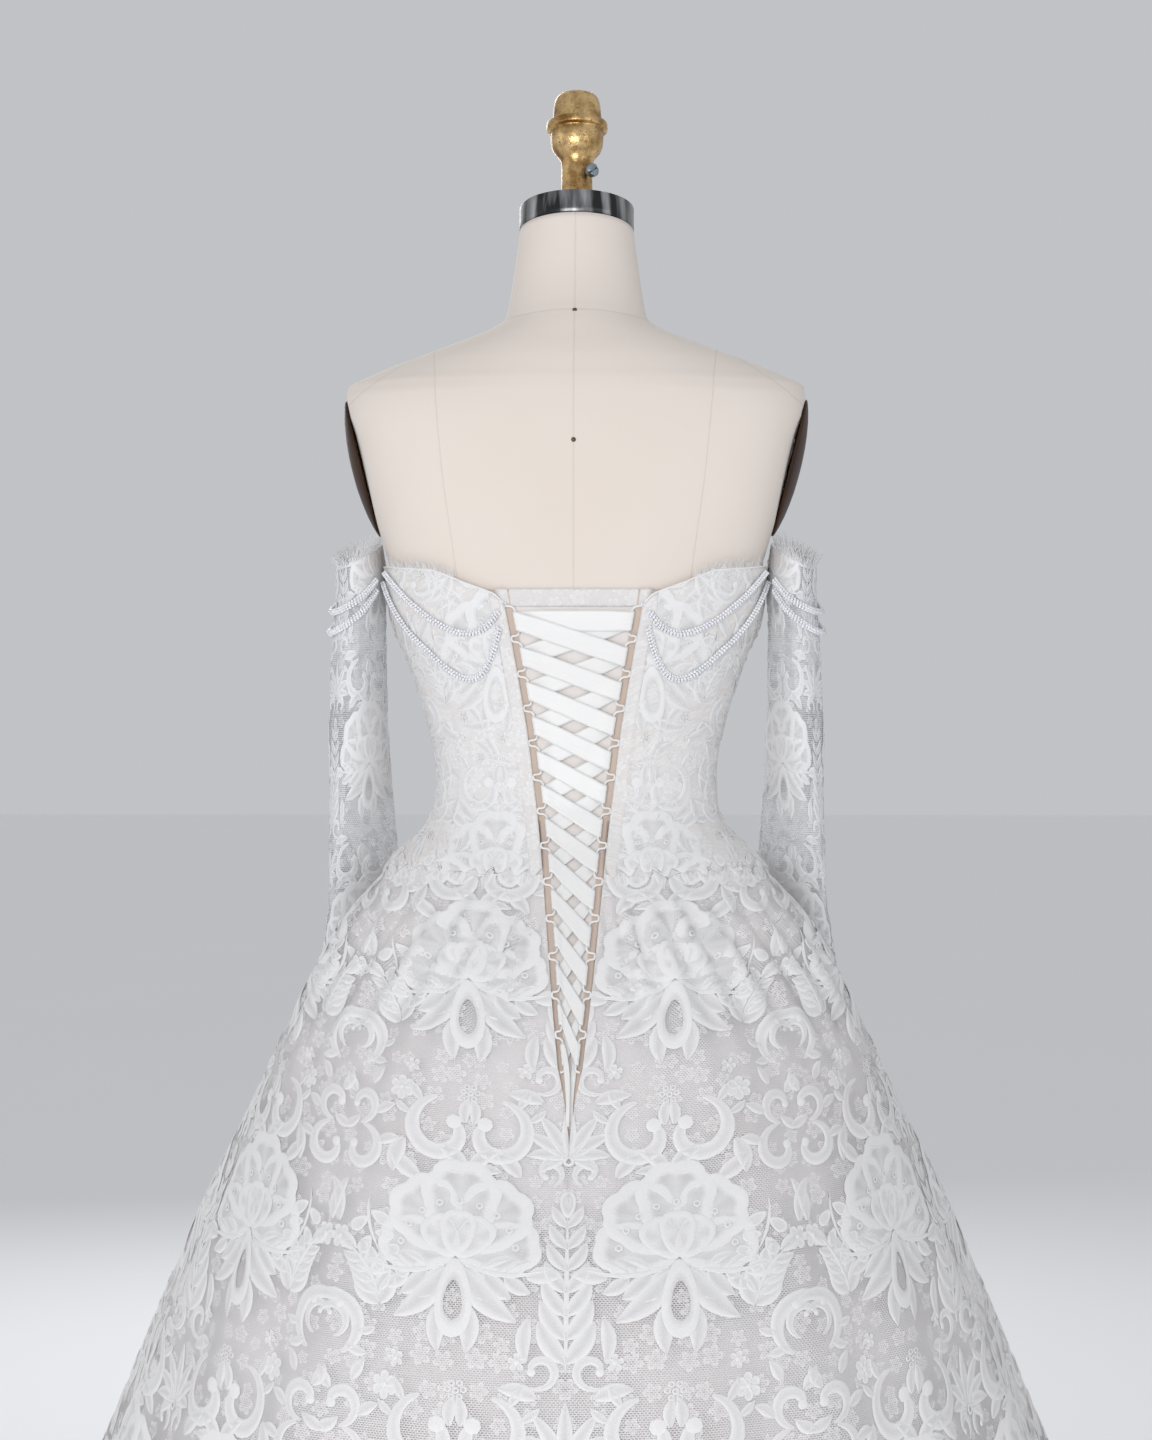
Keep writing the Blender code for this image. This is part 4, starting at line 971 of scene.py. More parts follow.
def palmette():
    parts = fan(leaf(44 * MM, 11 * MM), (0,))
    for angle, length, bend in ((22, 42, 0.35), (45, 37, 0.5), (70, 31, 0.7), (98, 25, 0.9)):
        parts += both(moved(leaf(length * MM, 11 * MM, bend), 1.5 * MM, 0, angle))
    parts += both(moved(scroll(11 * MM, 6 * MM, 300, 14, 0.6, 2.6 * MM), 14 * MM, -13 * MM, 200))
    return parts + moved(eyelet(4.4 * MM), 0, -3 * MM, raised=0.8 * MM)


def centre_stem():
    parts = fan(leaf(126 * MM, 4 * MM, 0, 12, 0.9), (0,))
    for k in range(7):
        size = 1 - 0.07 * k
        lobe = leaf(37 * MM * size, 14.5 * MM * size, -0.55)
        parts += both(moved(lobe, 0, (8 + 17.5 * k) * MM, 46, raised=0.05 * MM * k))
    parts += fan(petal(24 * MM, 12 * MM, 0, 0, 12), (0,), 0, 120)
    return parts + both(moved(scroll(14 * MM, 7 * MM, 310, 16, 0.6, 3.2 * MM), 18 * MM, 2 * MM, 150))


def crescent():
    parts = scroll(30 * MM, 14 * MM, 200, 16, 0.14, 4.5 * MM)
    rows = [
        (scroll(17 * MM, 8 * MM, 230, 14, 0.3, 3 * MM), 3, -2, -10, 0.1),
        (leaf(22 * MM, 10 * MM, 0.5), 8, 26, 38, 0.1),
        (leaf(18 * MM, 9 * MM, 0.5), 24, 18, 70, 0.1),
    ]
    return parts + arranged(rows)


def s_scroll():
    parts = scroll(21 * MM, 11 * MM, 290, 18, 0.6, 4.5 * MM)
    parts += moved(scroll(17 * MM, 10 * MM, 270, 16, 0.6, 4 * MM), -3 * MM, 39 * MM, 180, flip=True)
    rows = ((17, 6, 60), (-15, 18, -70), (13, 32, 50), (-11, 50, -40), (6, 58, 20))
    return parts + arranged([(leaf(20 * MM, 10 * MM, 0.5, 7), x, y, angle, 0.1) for x, y, angle in rows])


def bud_spray():
    parts = leaf(56 * MM, 3 * MM, 0.8, 9, 0.9)
    # x, y, angle, length of each bud
    rows = ((3, 12, 60, 19), (1, 18, -45, 19), (8, 30, 84, 17), (5, 34, -22, 18))
    rows += ((17, 44, 100, 15), (15, 46, 8, 17), (27, 52, 52, 20))
    for x, y, angle, long in rows:
        bud = petal(long * MM, long * 0.6 * MM, 0, 0, 11, 0.7, 0.6)
        parts += moved(bud, x * MM, y * MM, angle, raised=0.1 * MM)
    return parts


def berries():
    rows = [(0, 0), (6, 1), (3, 6), (-3, 6), (-6, 1), (-3, -5), (3, -5)]
    return arranged([(eyelet(3.0 * MM, 7), x, y, 0) for x, y in rows])


FIGURES = {
    "peony": peony(),
    "scroll_pair": scroll_pair(),
    "daisy": daisy(10.0),
    "small_daisy": daisy(7.0, 5),
    "lobed_leaf": lobed_leaf(56 * MM, 0.7, 5, 25 * MM),
    "palmette": palmette(),
    "centre_stem": centre_stem(),
    "crescent": crescent(),
    "s_scroll": s_scroll(),
    "bud_spray": bud_spray(),
    "berries": berries(),
    "leaf": leaf(32 * MM, 14 * MM, 0.6),
    "long_leaf": leaf(48 * MM, 16 * MM, -0.8),
}

# The lace's repeat: half of it, mirrored on its centre line. figure, across, down, angle, scale, flipped
REPEAT_ACROSS, REPEAT_DOWN = 0.360, 0.235
REPEAT = (
    ("peony", 0.080, 0.072, 0, 1.22, False),
    ("scroll_pair", 0.076, 0.204, 0, 1.12, False),
    ("centre_stem", 0.000, 0.158, 0, 1.00, False),
    ("palmette", 0.000, 0.222, 0, 1.00, False),
    ("leaf", 0.020, 0.176, 62, 0.90, False),
    ("long_leaf", 0.026, 0.118, 158, 0.70, True),
    ("small_daisy", 0.034, 0.150, 0, 1.00, False),
    ("berries", 0.076, 0.172, 0, 0.90, False),
    ("daisy", 0.130, 0.172, 0, 1.10, False),
    ("small_daisy", 0.122, 0.152, 20, 1.00, False),
    ("lobed_leaf", 0.138, 0.112, 14, 0.95, False),
    ("bud_spray", 0.150, 0.030, 176, 0.90, False),
    ("leaf", 0.112, 0.010, 64, 1.00, True),
    ("s_scroll", 0.163, 0.226, 0, 0.95, True),
    ("crescent", 0.177, 0.130, 205, 0.80, False),
    ("leaf", 0.126, 0.214, 150, 0.95, False),
    ("daisy", 0.172, 0.064, 30, 1.00, False),
    ("long_leaf", 0.176, 0.052, 0, 0.80, True),
    ("leaf", 0.036, 0.004, 30, 0.90, False),
)


def coarser(parts):
    """The parts with every second row left out."""
    return [tuple(values[::2] for values in part) for part in parts]


COARSE_FIGURES = {name: coarser(parts) for name, parts in FIGURES.items()}


class Chart:
    """Flat coordinates on the dress: across from a line at one turn, and down from a height."""

    rows, columns = 90, 121
    down_column = 20  # the column that distances down are measured on

    def __init__(self, start, end, top, bottom):
        self.start, self.end = start, end
        self.heights = np.linspace(top, bottom, self.rows)
        turns = np.linspace(start, end, self.columns)
        grid = dress_point(turns[None, :], self.heights[:, None])
        steps = np.linalg.norm(np.diff(grid, axis=1), axis=-1)
        self.lengths = np.concatenate([np.zeros((self.rows, 1)), np.cumsum(steps, axis=1)], axis=1)
        self.width = self.lengths[:, -1]
        shares = np.linspace(0, 1, self.columns)
        self.turns = np.stack([np.interp(shares * row[-1], row, turns) for row in self.lengths])
        self.down = run_along(grid[:, self.down_column])

    def row_at(self, height):
        """The row just above a height, and the share of the way from it to the next."""
        row = np.interp(height, self.heights[::-1], np.arange(self.rows)[::-1])
        low = np.clip(row.astype(int), 0, self.rows - 2)
        return low, row - low

    def read(self, table, height, share):
        """A table's value at a height and a share of its width."""
        low, part = self.row_at(height)
        column = np.clip(share, 0, 1) * (self.columns - 1)
        left = np.clip(column.astype(int), 0, self.columns - 2)
        near = column - left
        above, below = (table[row, left] * (1 - near) + table[row, left + 1] * near for row in (low, low + 1))
        return above * (1 - part) + below * part

    def height_at(self, down):
        return np.interp(down, self.down, self.heights)

    def down_for(self, height):
        return np.interp(-height, -self.heights, self.down)

    def turn_for(self, across, height):
        """The turn for a distance across, the same on both sides of the start line."""
        low, part = self.row_at(height)
        width = self.width[low] * (1 - part) + self.width[low + 1] * part
        turn = self.read(self.turns, height, np.abs(across) / width)
        return self.start + np.where(across < 0, -1, 1) * (turn - self.start)

    def across_for(self, turn, height):
        share = np.abs(turn - self.start) / abs(self.end - self.start)
        return np.sign(turn - self.start) * self.read(self.lengths, height, share)


FIGURE_REACH = 0.075  # from a figure's place to its farthest point


def repeat_parts(across_low, across_high, down_high, scale, down_offset, fine_across=0.0, fine_down=0.0):
    """Every figure of the repeat whose place is in the range, as one list of parts in chart coordinates.

    Figures nearer than fine_across and fine_down are the finer ones.
    """
    parts = []
    reach = FIGURE_REACH * scale
    first = math.floor(across_low / REPEAT_ACROSS / scale) - 1
    for column in range(first, math.ceil(across_high / REPEAT_ACROSS / scale) + 2):
        for row in range(-2, 8):
            for name, across, down, angle, size, flipped in REPEAT:
                for side in (1,) if across in (0.0, REPEAT_ACROSS / 2) else (1, -1):
                    x = (column * REPEAT_ACROSS + side * across) * scale
                    y = (row * REPEAT_DOWN + down) * scale + down_offset
                    if not across_low - reach < x < across_high + reach:
                        continue
                    if not -reach < y < down_high + reach * 2:
                        continue
                    figures = FIGURES if abs(x) < fine_across and y < fine_down else COARSE_FIGURES
                    figure = moved(figures[name], 0, 0, angle, size * scale, flipped)
                    figure = figure if side > 0 else moved(figure, flip=True)
                    parts += moved(figure, x, -y)
    return parts


def joined_parts(parts):
    """Parts as arrays: across, down, raise, cover, and quads."""
    quads, count = [], 0
    for x, *_ in parts:
        quads.append(grid_faces(*x.shape) + count)
        count += x.size
    across, up, lift, cover = (np.concatenate([v.ravel() for v in column]) for column in zip(*parts))
    return across, -up, lift, cover, np.concatenate(quads)


def facing_out(points, quads, centre):
    a, b, c, d = (points[quads[:, k]] for k in range(4))
    normal = np.cross(c - a, d - b)
    out = (a + c) / 2 - centre((a + c) / 2)
    wrong = (normal * out).sum(1) < 0
    quads = quads.copy()
    quads[wrong] = quads[wrong][:, ::-1]
    return quads[np.linalg.norm(normal, axis=1) > 1e-10]


def axis_point(points):
    return points * np.array([0, 0, 1.0])


def kept_only(points, quads, keep, *others):
    """Only the faces whose four corners aren't all outside, and only the points they use."""
    quads = quads[keep[quads].any(axis=1)]
    used = np.unique(quads)
    new = np.full(len(points), -1)
    new[used] = np.arange(len(used))
    return [points[used], new[quads]] + [other[used] for other in others]


def figures_on(name, points, quads, inside, flat, cover, finish, centre, halves):
    """The figures' meshes: one as it is, two halves apart, or two halves joined in one."""
    points, quads, flat, cover = kept_only(points, quads, inside, flat, cover)
    quads = facing_out(points, quads, centre)
    if halves == 1:
        return [surface(name, points, quads, finish, flat, cover)]
    sides = [on_side(sign, points, quads) for _, sign in SIDES]
    if halves == "joined":
        return [surface(name, *joined_meshes(sides), finish, np.tile(flat, (2, 1)), np.tile(cover, 2))]
    return [surface(f"{name}_{side}", *sides[k], finish, flat, cover) for k, (side, _) in enumerate(SIDES)]


# ---------------------------------------------------------------- the skirts

BACK_CHART = Chart(0, 110, 1.03, 0.010)
FRONT_CHART = Chart(180, 75, 1.03, 0.010)
SKIRT_TOP, LACE_HEM, UNDER_HEM = 1.012, 0.017, 0.0125
LACE_SKIN = 0.6 * MM  # from the lace solid's inner face to the net
LINING_SKIN, LINING_THICK = 0.6 * MM, 0.6 * MM
FIGURE_SKIN = 0.35 * MM  # from the net to the underside of its figures
FIRST_PEONY, FINE_ABOVE, FIGURES_TOP = 0.905, 0.56, 0.990
SEAM_HALF = 0.02  # half of a side seam's gap, as a turn
LINING_FOLLOWS = 0.85  # how much of the lace's creases the underskirt has
ROWS_CHANGE = 0.80
# name, chart, first turn (None is the back opening), last turn, columns
PANELS = (
    ("back", BACK_CHART, None, SKIRT_SIDE_SEAM - SEAM_HALF, 184),
    ("front", FRONT_CHART, SKIRT_SIDE_SEAM + SEAM_HALF, 360 - SKIRT_SIDE_SEAM - SEAM_HALF, 200),
)
PANEL_SIDES = {"back": (("back_left", 1), ("back_right", -1)), "front": (("front", 1),)}


OPENING_LEVELS = np.linspace(0.010, 1.26, 260)
OPENING_TURNS = turn_at(np.where(OPENING_LEVELS > OPENING_TIP, opening(OPENING_LEVELS), 0.0), OPENING_LEVELS)


def opening_turn(height):
    """The turn of the back opening's edge at every height, and of the closed seam below its tip."""
    return np.interp(height, OPENING_LEVELS, OPENING_TURNS)


def lace_surface(turn, height, raised):
    return dress_out(turn, height, lace_out(turn, height) + LACE_SKIN + raised + crease_rise(turn, height))


def skirt_rows(top, bottom, fine, coarse):
    """Heights from the bottom up, closer together near the waist."""
    lower = np.linspace(bottom, ROWS_CHANGE, coarse, endpoint=False)
    return np.concatenate([lower, np.linspace(ROWS_CHANGE, top, fine)])


def skirt_grid(chart, first, last, columns, heights):
    """Turns, heights and flat coordinates of a skirt panel's grid; first None is the back opening."""
    share = np.linspace(0, 1, columns)[None, :]
    start = opening_turn(heights)[:, None] if first is None else np.full((len(heights), 1), float(first))
    turns = start + (last - start) * share
    tall = np.broadcast_to(heights[:, None], turns.shape)
    flat = np.stack([chart.across_for(turns, tall), -chart.down_for(tall)], axis=-1)
    return turns, tall, flat


def make_skirt_panels():
    heights = skirt_rows(SKIRT_TOP, LACE_HEM, 44, 52)
    under_heights = skirt_rows(SKIRT_TOP, UNDER_HEM, 24, 30)
    nets, linings = {}, {}
    for name, chart, first, last, columns in PANELS:
        turns, tall, flat = skirt_grid(chart, first, last, columns, heights)
        lace = lace_surface(turns, tall, 0.0)
        turns, tall, under_flat = skirt_grid(chart, first, last, columns * 3 // 5, under_heights)
        under = dress_out(turns, tall, LINING_SKIN + LINING_FOLLOWS * crease_rise(turns, tall))
        for side, sign in PANEL_SIDES[name]:
            nets[side] = shell_on(sign, f"lace_net_{side}", lace, SKIRT_NET, flat)
            lining = f"underskirt_cloth_{side}"
            linings[side] = shell_on(sign, lining, under, UNDERSKIRT, under_flat, LINING_THICK)
    return nets, linings


def make_skirt_figures():
    """The lace's figures, cut at the back opening, the side seams and the hem."""
    made = {}
    full_down, top_down = BACK_CHART.down_for(LACE_HEM), BACK_CHART.down_for(FINE_ABOVE)
    offset = BACK_CHART.down_for(FIRST_PEONY) - REPEAT[0][2] - REPEAT_DOWN
    for name, chart, low, high, _ in PANELS:
        whole, widest = low is not None, chart.width[-1]
        first, fine_across = (-widest, 0.0) if whole else (0.0, 2.0)
        parts = repeat_parts(first, widest, full_down, 1.0, offset, fine_across, top_down)
        across, down, lift, cover, quads = joined_parts(parts)
        height = np.clip(chart.height_at(down), LACE_HEM, FIGURES_TOP)
        turn = chart.turn_for(across, height)
        low = low if whole else opening_turn(height)
        inside = (turn > low) & (turn < high)
        inside &= (chart.height_at(down) > LACE_HEM) & (down > chart.down_for(FIGURES_TOP))
        points = lace_surface(np.clip(turn, low, high), height, FIGURE_SKIN + lift)
        flat = np.stack([across, -down], axis=-1)
        mesh = (points, quads, inside, flat, cover)
        pieces = figures_on(f"lace_figures_{name}", *mesh, LACE_FIGURES, axis_point, len(PANEL_SIDES[name]))
        made.update((side, piece) for (side, _), piece in zip(PANEL_SIDES[name], pieces))
    return made


lace_pieces, under_pieces = make_skirt_panels()
figure_pieces = make_skirt_figures()
for side in ("back_left", "back_right", "front"):
    place(lace_pieces[side], "white_lace", f"lace_skirt_{side}")
    place(figure_pieces[side], "white_lace")
    place(under_pieces[side], "net", f"underskirt_{side}")


# ---------------------------------------------------------------- the bodice

SCALLOPS, SCALLOP_DROP, SCALLOP_LEAST, SCALLOP_DEEPEST = 52, 0.015, 0.25, 0.90
BODICE_SKIN, BODICE_THICK = BODICE_OUT + 0.75 * MM, 1.1 * MM
# how deep its soft waves and its pulls at the waist are, and how far in its low edge is tucked
SOFT, PULLED, TUCKED = 0.22 * MM, 0.16 * MM, 1.1 * MM
BODICE_CHART = Chart(0, 180, 1.275, 0.955)
BODICE_SCALE, BODICE_PEONY = 0.80, 1.165
PLACKET = 9.5 * MM
# Bones and seams of one half, as soft ridges.
# turn at the waist, turn at the top, height in millimetres, half width in degrees
BONES = (
    (28, 37, 0.55, 1.3),
    (36, 42, 0.35, 1.2),
    (44, 47, 0.75, 1.2),
    (62, 60, 0.45, 1.6),
    (90, 90, 0.6, 1.3),
    (118, 118, 0.4, 1.5),
    (146, 146, 0.6, 1.3),
    (180, 180, 0.35, 1.5),
)


def bodice_low(turn):
    wave = np.abs(np.sin(np.radians(turn * SCALLOPS / 2)))
    uneven = 0.8 + 0.2 * np.sin(turn * 0.37)
    return 1.0 - SCALLOP_DROP * (SCALLOP_LEAST + (SCALLOP_DEEPEST - SCALLOP_LEAST) * wave * uneven)


def bone_rise(turn, height):
    """The ridges of the bones, and of the strip beside the back opening."""
    beside = np.abs(dress_point(turn, height)[..., 0]) - opening(height)
    turn = folded_turn(turn)
    rise = 0.45 * MM * np.exp(-(((beside - PLACKET) / (1.1 * MM)) ** 2)) * (turn < 60)
    rise += 0.30 * MM * np.exp(-(((beside - 1.5 * MM) / (1.2 * MM)) ** 2)) * (turn < 60)
    up = smooth_step(height, 1.0, 1.22)
    for waist, top, high, half in BONES:
        rise += high * MM * np.exp(-(((turn - waist - (top - waist) * up) / half) ** 4))
    return rise * smooth_step(height, 0.995, 1.02)


def bodice_surface(turn, height, raised):
    soft = SOFT * np.sin(height * 190 + 0.11 * turn) * np.sin(np.radians(turn * 7) + height * 31)
    pulls = PULLED * np.sin(height * 420 - 0.35 * folded_turn(turn)) * smooth_step(1.06 - height, -0.03, 0.03)
    tuck = TUCKED * (1 - smooth_step(height, 0.990, 1.010))
    return dress_out(turn, height, BODICE_SKIN - tuck + bone_rise(turn, height) + soft + pulls + raised)


def make_bodice():
    columns, rows = 241, 32
    share = np.linspace(0, 1, columns)[None, :]
    way = np.linspace(0, 1, rows)[:, None]

    def heights_at(turns):
        return bodice_low(turns) + (neckline(turns) - bodice_low(turns)) * way

    turns = 15 + 330 * share
    for _ in range(4):
        edge = opening_turn(heights_at(turns))
        turns = edge + (360 - 2 * edge) * share
    height = heights_at(turns)
    across = BODICE_CHART.across_for(np.minimum(turns, 360 - turns), height)
    whole = 2 * BODICE_CHART.across_for(np.full(turns.shape, 180.0), height)
    flat = np.stack([np.where(turns > 180, whole - across, across), -BODICE_CHART.down_for(height)], axis=-1)
    return shell("bodice_cloth", bodice_surface(turns, height, 0.0), BODICE_CLOTH, flat, BODICE_THICK)


def waist_leaves():
    """Petals and leaf tips that hang from the bodice's lace over the gathers, in chart coordinates."""
    parts, seeds = [], np.random.default_rng(5)
    low, front = BODICE_CHART.down_for(1.004), BODICE_CHART.across_for(179.0, 0.99)
    across = 20 * MM
    while across < front:
        size = 0.85 + 0.4 * seeds.random()
        angle = 180 + 50 * (seeds.random() - 0.5)
        if seeds.random() < 0.45:
            piece = petal(24 * MM, 17 * MM, 0, 5, 20, thin=0.6)
        else:
            piece = leaf(25 * MM, 9 * MM, 0.8 * (seeds.random() - 0.5), 7)
        down = low + 3 * MM * seeds.random()
        parts += moved(piece, across, -down, angle, size, raised=0.3 * MM * seeds.random())
        across += 11 * MM * size
    return parts


def small_fillings():
    """Small figures under the large ones on the bodice's back and sides, in chart coordinates."""
    parts, seeds, step = [], np.random.default_rng(23), 17 * MM
    names = ("small_daisy", "leaf", "leaf", "berries", "long_leaf")
    for row, column in np.ndindex(16, 16):
        across = (column + 0.5 * (row % 2) + 0.6 * seeds.random()) * step
        down = (row + 0.5 * seeds.random()) * step
        figure = COARSE_FIGURES[names[seeds.integers(5)]]
        parts += moved(figure, across, -down, 360 * seeds.random(), 0.55 + 0.2 * seeds.random())
    return parts


# the bodice's figures: how far down they go, how far across they are the finer ones, and their flatness
BODICE_DOWN, BODICE_FINE, BODICE_LIFT = 0.34, 0.22, 0.8
OVER_CLOTH, OVER_SKIRT, LEAVES_LOW = 0.65 * MM, 2.0 * MM, 0.960


def make_bodice_figures():
    chart = BODICE_CHART
    offset = chart.down_for(BODICE_PEONY) - REPEAT[0][2] * BODICE_SCALE
    parts = small_fillings()
    parts += repeat_parts(0.0, chart.width.max(), BODICE_DOWN, BODICE_SCALE, offset, BODICE_FINE, 1.0)
    hanging = len(joined_parts(parts)[0])
    across, down, lift, cover, quads = joined_parts(parts + waist_leaves())
    on_bodice = np.arange(len(across)) < hanging
    height = chart.height_at(down)
    turn = chart.turn_for(across, height)
    low = np.where(on_bodice, bodice_low(turn), LEAVES_LOW)

    def first_turn(height):
        return turn_at(opening(height) + PLACKET + MM, height)

    inside = (turn > first_turn(height)) & (height < neckline(turn)) & (height > low) & (turn < 180)
    height = np.clip(height, low + 0.2 * MM, neckline(turn))
    turn = np.clip(turn, first_turn(height), 180)
    on_cloth = bodice_surface(turn, np.maximum(height, 0.987), OVER_CLOTH + BODICE_LIFT * lift)
    on_skirt = lace_surface(turn, np.minimum(height, 0.999), OVER_SKIRT + BODICE_LIFT * lift)
    upper = smooth_step(height, 0.980, 0.993)[:, None]
    points = on_cloth * upper + on_skirt * (1 - upper)
    points[:, 2] = np.where(on_bodice, points[:, 2], height)
    flat = np.stack([across, -down], axis=-1)
    mesh = (points, quads, inside, flat, cover)
    return figures_on("bodice_figures", *mesh, BODICE_FIGURES, axis_point, "joined")[0]


bodice = place(
    make_bodice(),
    "white_lace",
    "bodice_centre_front",
    *[f"bodice_{part}_{side}" for part in ("back", "side_back", "side_front") for side in ("left", "right")],
)
bodice_figures = place(make_bodice_figures(), "white_lace")


def make_neckline_edge():
    """The narrow corded edge along the bodice's top."""
    turns = np.linspace(opening_turn(1.21) + 0.6, 180, 150)
    path = bodice_surface(turns, neckline(turns) - 0.6 * MM, 0.7 * MM)
    lines = (path, (path * MIRROR)[::-1])
    return surface("neckline_cord", *joined_meshes([sweep(line, 0.8 * MM, 6) for line in lines]), SATIN)


place(make_neckline_edge(), "white_lace")


MODESTY_LAP, BAND_LAP, LAP_RISE = 14 * MM, 6 * MM, 1.7 * MM
MODESTY_OUT, BAND_OUT = 0.5 * MM, 1.1 * MM
# lowest, highest, rows of the panel below the waist, of the panel above it, and of the band
MODESTY_BELOW, MODESTY_ABOVE = (0.7965, 1.0335, 42), (1.045, 1.2255, 30)
BAND_ROWS = (1.2110, 1.2262, 8)


def lap_rise(across, height):
    """How far the panel stands out where it goes under the bodice's edges."""
    half = opening(height)
    return LAP_RISE * smooth_step(np.abs(across), half - 5 * MM, half + MM)


def make_modesty():
    """The panel behind the lacing, under the bodice's edges above the waist and set into the skirt below."""
    height = np.concatenate([np.linspace(*MODESTY_BELOW), np.linspace(*MODESTY_ABOVE)])[:, None]
    free = height >= MODESTY_ABOVE[0]
    across = (opening(height) + np.where(free, MODESTY_LAP, -0.1 * MM)) * np.linspace(-1, 1, 21)
    height = np.broadcast_to(height, across.shape)
    points = back_out(across, height, MODESTY_OUT + free * lap_rise(across, height))
    return shell("modesty_cloth", points, NUDE, np.stack([across, height], -1), 0.7 * MM)


def make_modesty_band():
    """The sheer white band along the modesty panel's top."""
    height = np.linspace(*BAND_ROWS)[:, None]
    across = (opening(height) + BAND_LAP) * np.linspace(-1, 1, 25)
    height = np.broadcast_to(height, across.shape)
    points = back_out(across, height, BAND_OUT + lap_rise(across, height))
    return shell("modesty_band", points, BAND, np.stack([across, height], -1), 0.4 * MM)


modesty = place(make_modesty(), "nude_net", "modesty_panel")
modesty_band = place(make_modesty_band(), "nude_net")


# ---------------------------------------------------------------- the lacing

LOOPS, FIRST_LOOP, LOOP_PITCH = 13, 1.200, 28.8 * MM
LOOP_HALF_HEIGHT, LOOP_REACH, LEAST_REACH = 12.5 * MM, 6.4 * MM, 4.4 * MM
# share of the half height, share of the reach
LOOP_HALF_SHAPE = ((1.0, -0.05), (0.92, 0.66), (0.68, 0.98))
LOOP_SHAPE = LOOP_HALF_SHAPE + ((0.0, 1.0),) + tuple((-up, out) for up, out in LOOP_HALF_SHAPE[::-1])
RIBBON_WIDTH, RIBBON_GATHERED = 17.2 * MM, 15.6 * MM
RIBBON_MEETS = 0.66  # how far the crossing strips come together between the loops
TAIL_END = 0.803
# The ribbon's free end: share of the distance across, drop and width in millimetres, roll in degrees
TAIL = (
    (1.00, 0, 16.0, 0),
    (0.86, -3, 14.5, -8),
    (0.70, -7, 12.0, -20),
    (0.55, -12, 9.6, -35),
    (0.40, -18, 7.6, -50),
    (0.30, -26, 6.0, -64),
    (0.25, -34, 4.6, -76),
    (0.24, None, 3.4, -82),
)


def loop_height(number):
    return FIRST_LOOP - number * LOOP_PITCH


def loop_reach(number):
    return max(LEAST_REACH, min(LOOP_REACH, 0.34 * opening(loop_height(number))))


def loop_line(height):
    return opening(height) - GAP - LOOP_RADIUS


def fold_across(number, up=0.0):
    return loop_line(loop_height(number) + up) - loop_reach(number)


def make_loops():
    places = [(loop_line(FIRST_LOOP + 0.015), FIRST_LOOP + 0.015)]
    for number in range(LOOPS):
        for up, out in LOOP_SHAPE:
            height = loop_height(number) + up * LOOP_HALF_HEIGHT
            places.append((loop_line(height) - out * loop_reach(number), height))
    line = smooth_path(np.array(places), 4)
    path = back_out(line[:, 0], line[:, 1], np.full(len(line), LOOP_OUT))
    for side, sign in SIDES:
        tube_points, tube_faces = sweep(path * (sign, 1, 1), 0.95 * LOOP_RADIUS, 8)
        flat = np.stack(np.meshgrid(np.linspace(0, 6 * MM, 8), np.linspace(0, 0.5, len(path))), -1)
        loops = surface(f"rouleau_loops_{side}", tube_points, tube_faces, SATIN, flat)
        place(loops, "satin", f"lacing_loops_{side}")


def ribbon_rows():
    """The ribbon's middle line, section by section, in the order that it is laced."""
    last = LOOPS - 1
    top, under = LOOP_OUT + RIBBON_LAYER, LOOP_OUT - RIBBON_LAYER
    sections = []

    def tail(side, out):
        across, height = side * fold_across(last), loop_height(last)
        made = []
        for share, drop, width, roll in TAIL:
            level = TAIL_END if drop is None else height + drop * MM
            made.append(dict(at=(across * share, level, out), width=width * MM, roll=side * roll, pinch=0.5))
        return made

    def fold(side, number, from_top):
        for share in np.linspace(0.12, 0.88, 6):
            angle = math.pi * (share if from_top else 1 - share)
            sections.append(dict(fold=(side, number, angle), width=RIBBON_GATHERED, pinch=1.0))

    def strip(side, number_from, number_to, out_from, out_to):
        start, end = side * fold_across(number_from), -side * fold_across(number_to)
        low, high = loop_height(number_from), loop_height(number_to)
        lean = fold_across(number_from, RIBBON_GATHERED / 2) - abs(start)
        for share in np.linspace(0, 1, 15):
            full = smooth_step(min(share, 1 - share), 0, 0.22)
            out = out_from + (out_to - out_from) * share
            out = LOOP_OUT + (out - LOOP_OUT) * (1 - RIBBON_MEETS * full)
            middle = (start + (end - start) * share, low + (high - low) * share, out)
            width = RIBBON_GATHERED + (RIBBON_WIDTH - RIBBON_GATHERED) * full
            slant = side * (1 - 2 * share) * lean
            sections.append(dict(at=middle, width=width, slant=slant, pinch=1 - full))

    sections += list(reversed(tail(1, top)))
    side, on_top = 1, True
    route = list(range(last, -1, -1)) + list(range(last + 1))
    for number, after in zip(route, route[1:]):
        fold(side, number, on_top)
        on_top = not on_top
        out = (top, under) if on_top else (under, top)
        strip(side, number, after, out[0], out[number == after])
        side = -side
        if number == after:
            on_top = not on_top
    fold(side, last, on_top)
    return sections + tail(side, under if on_top else top)


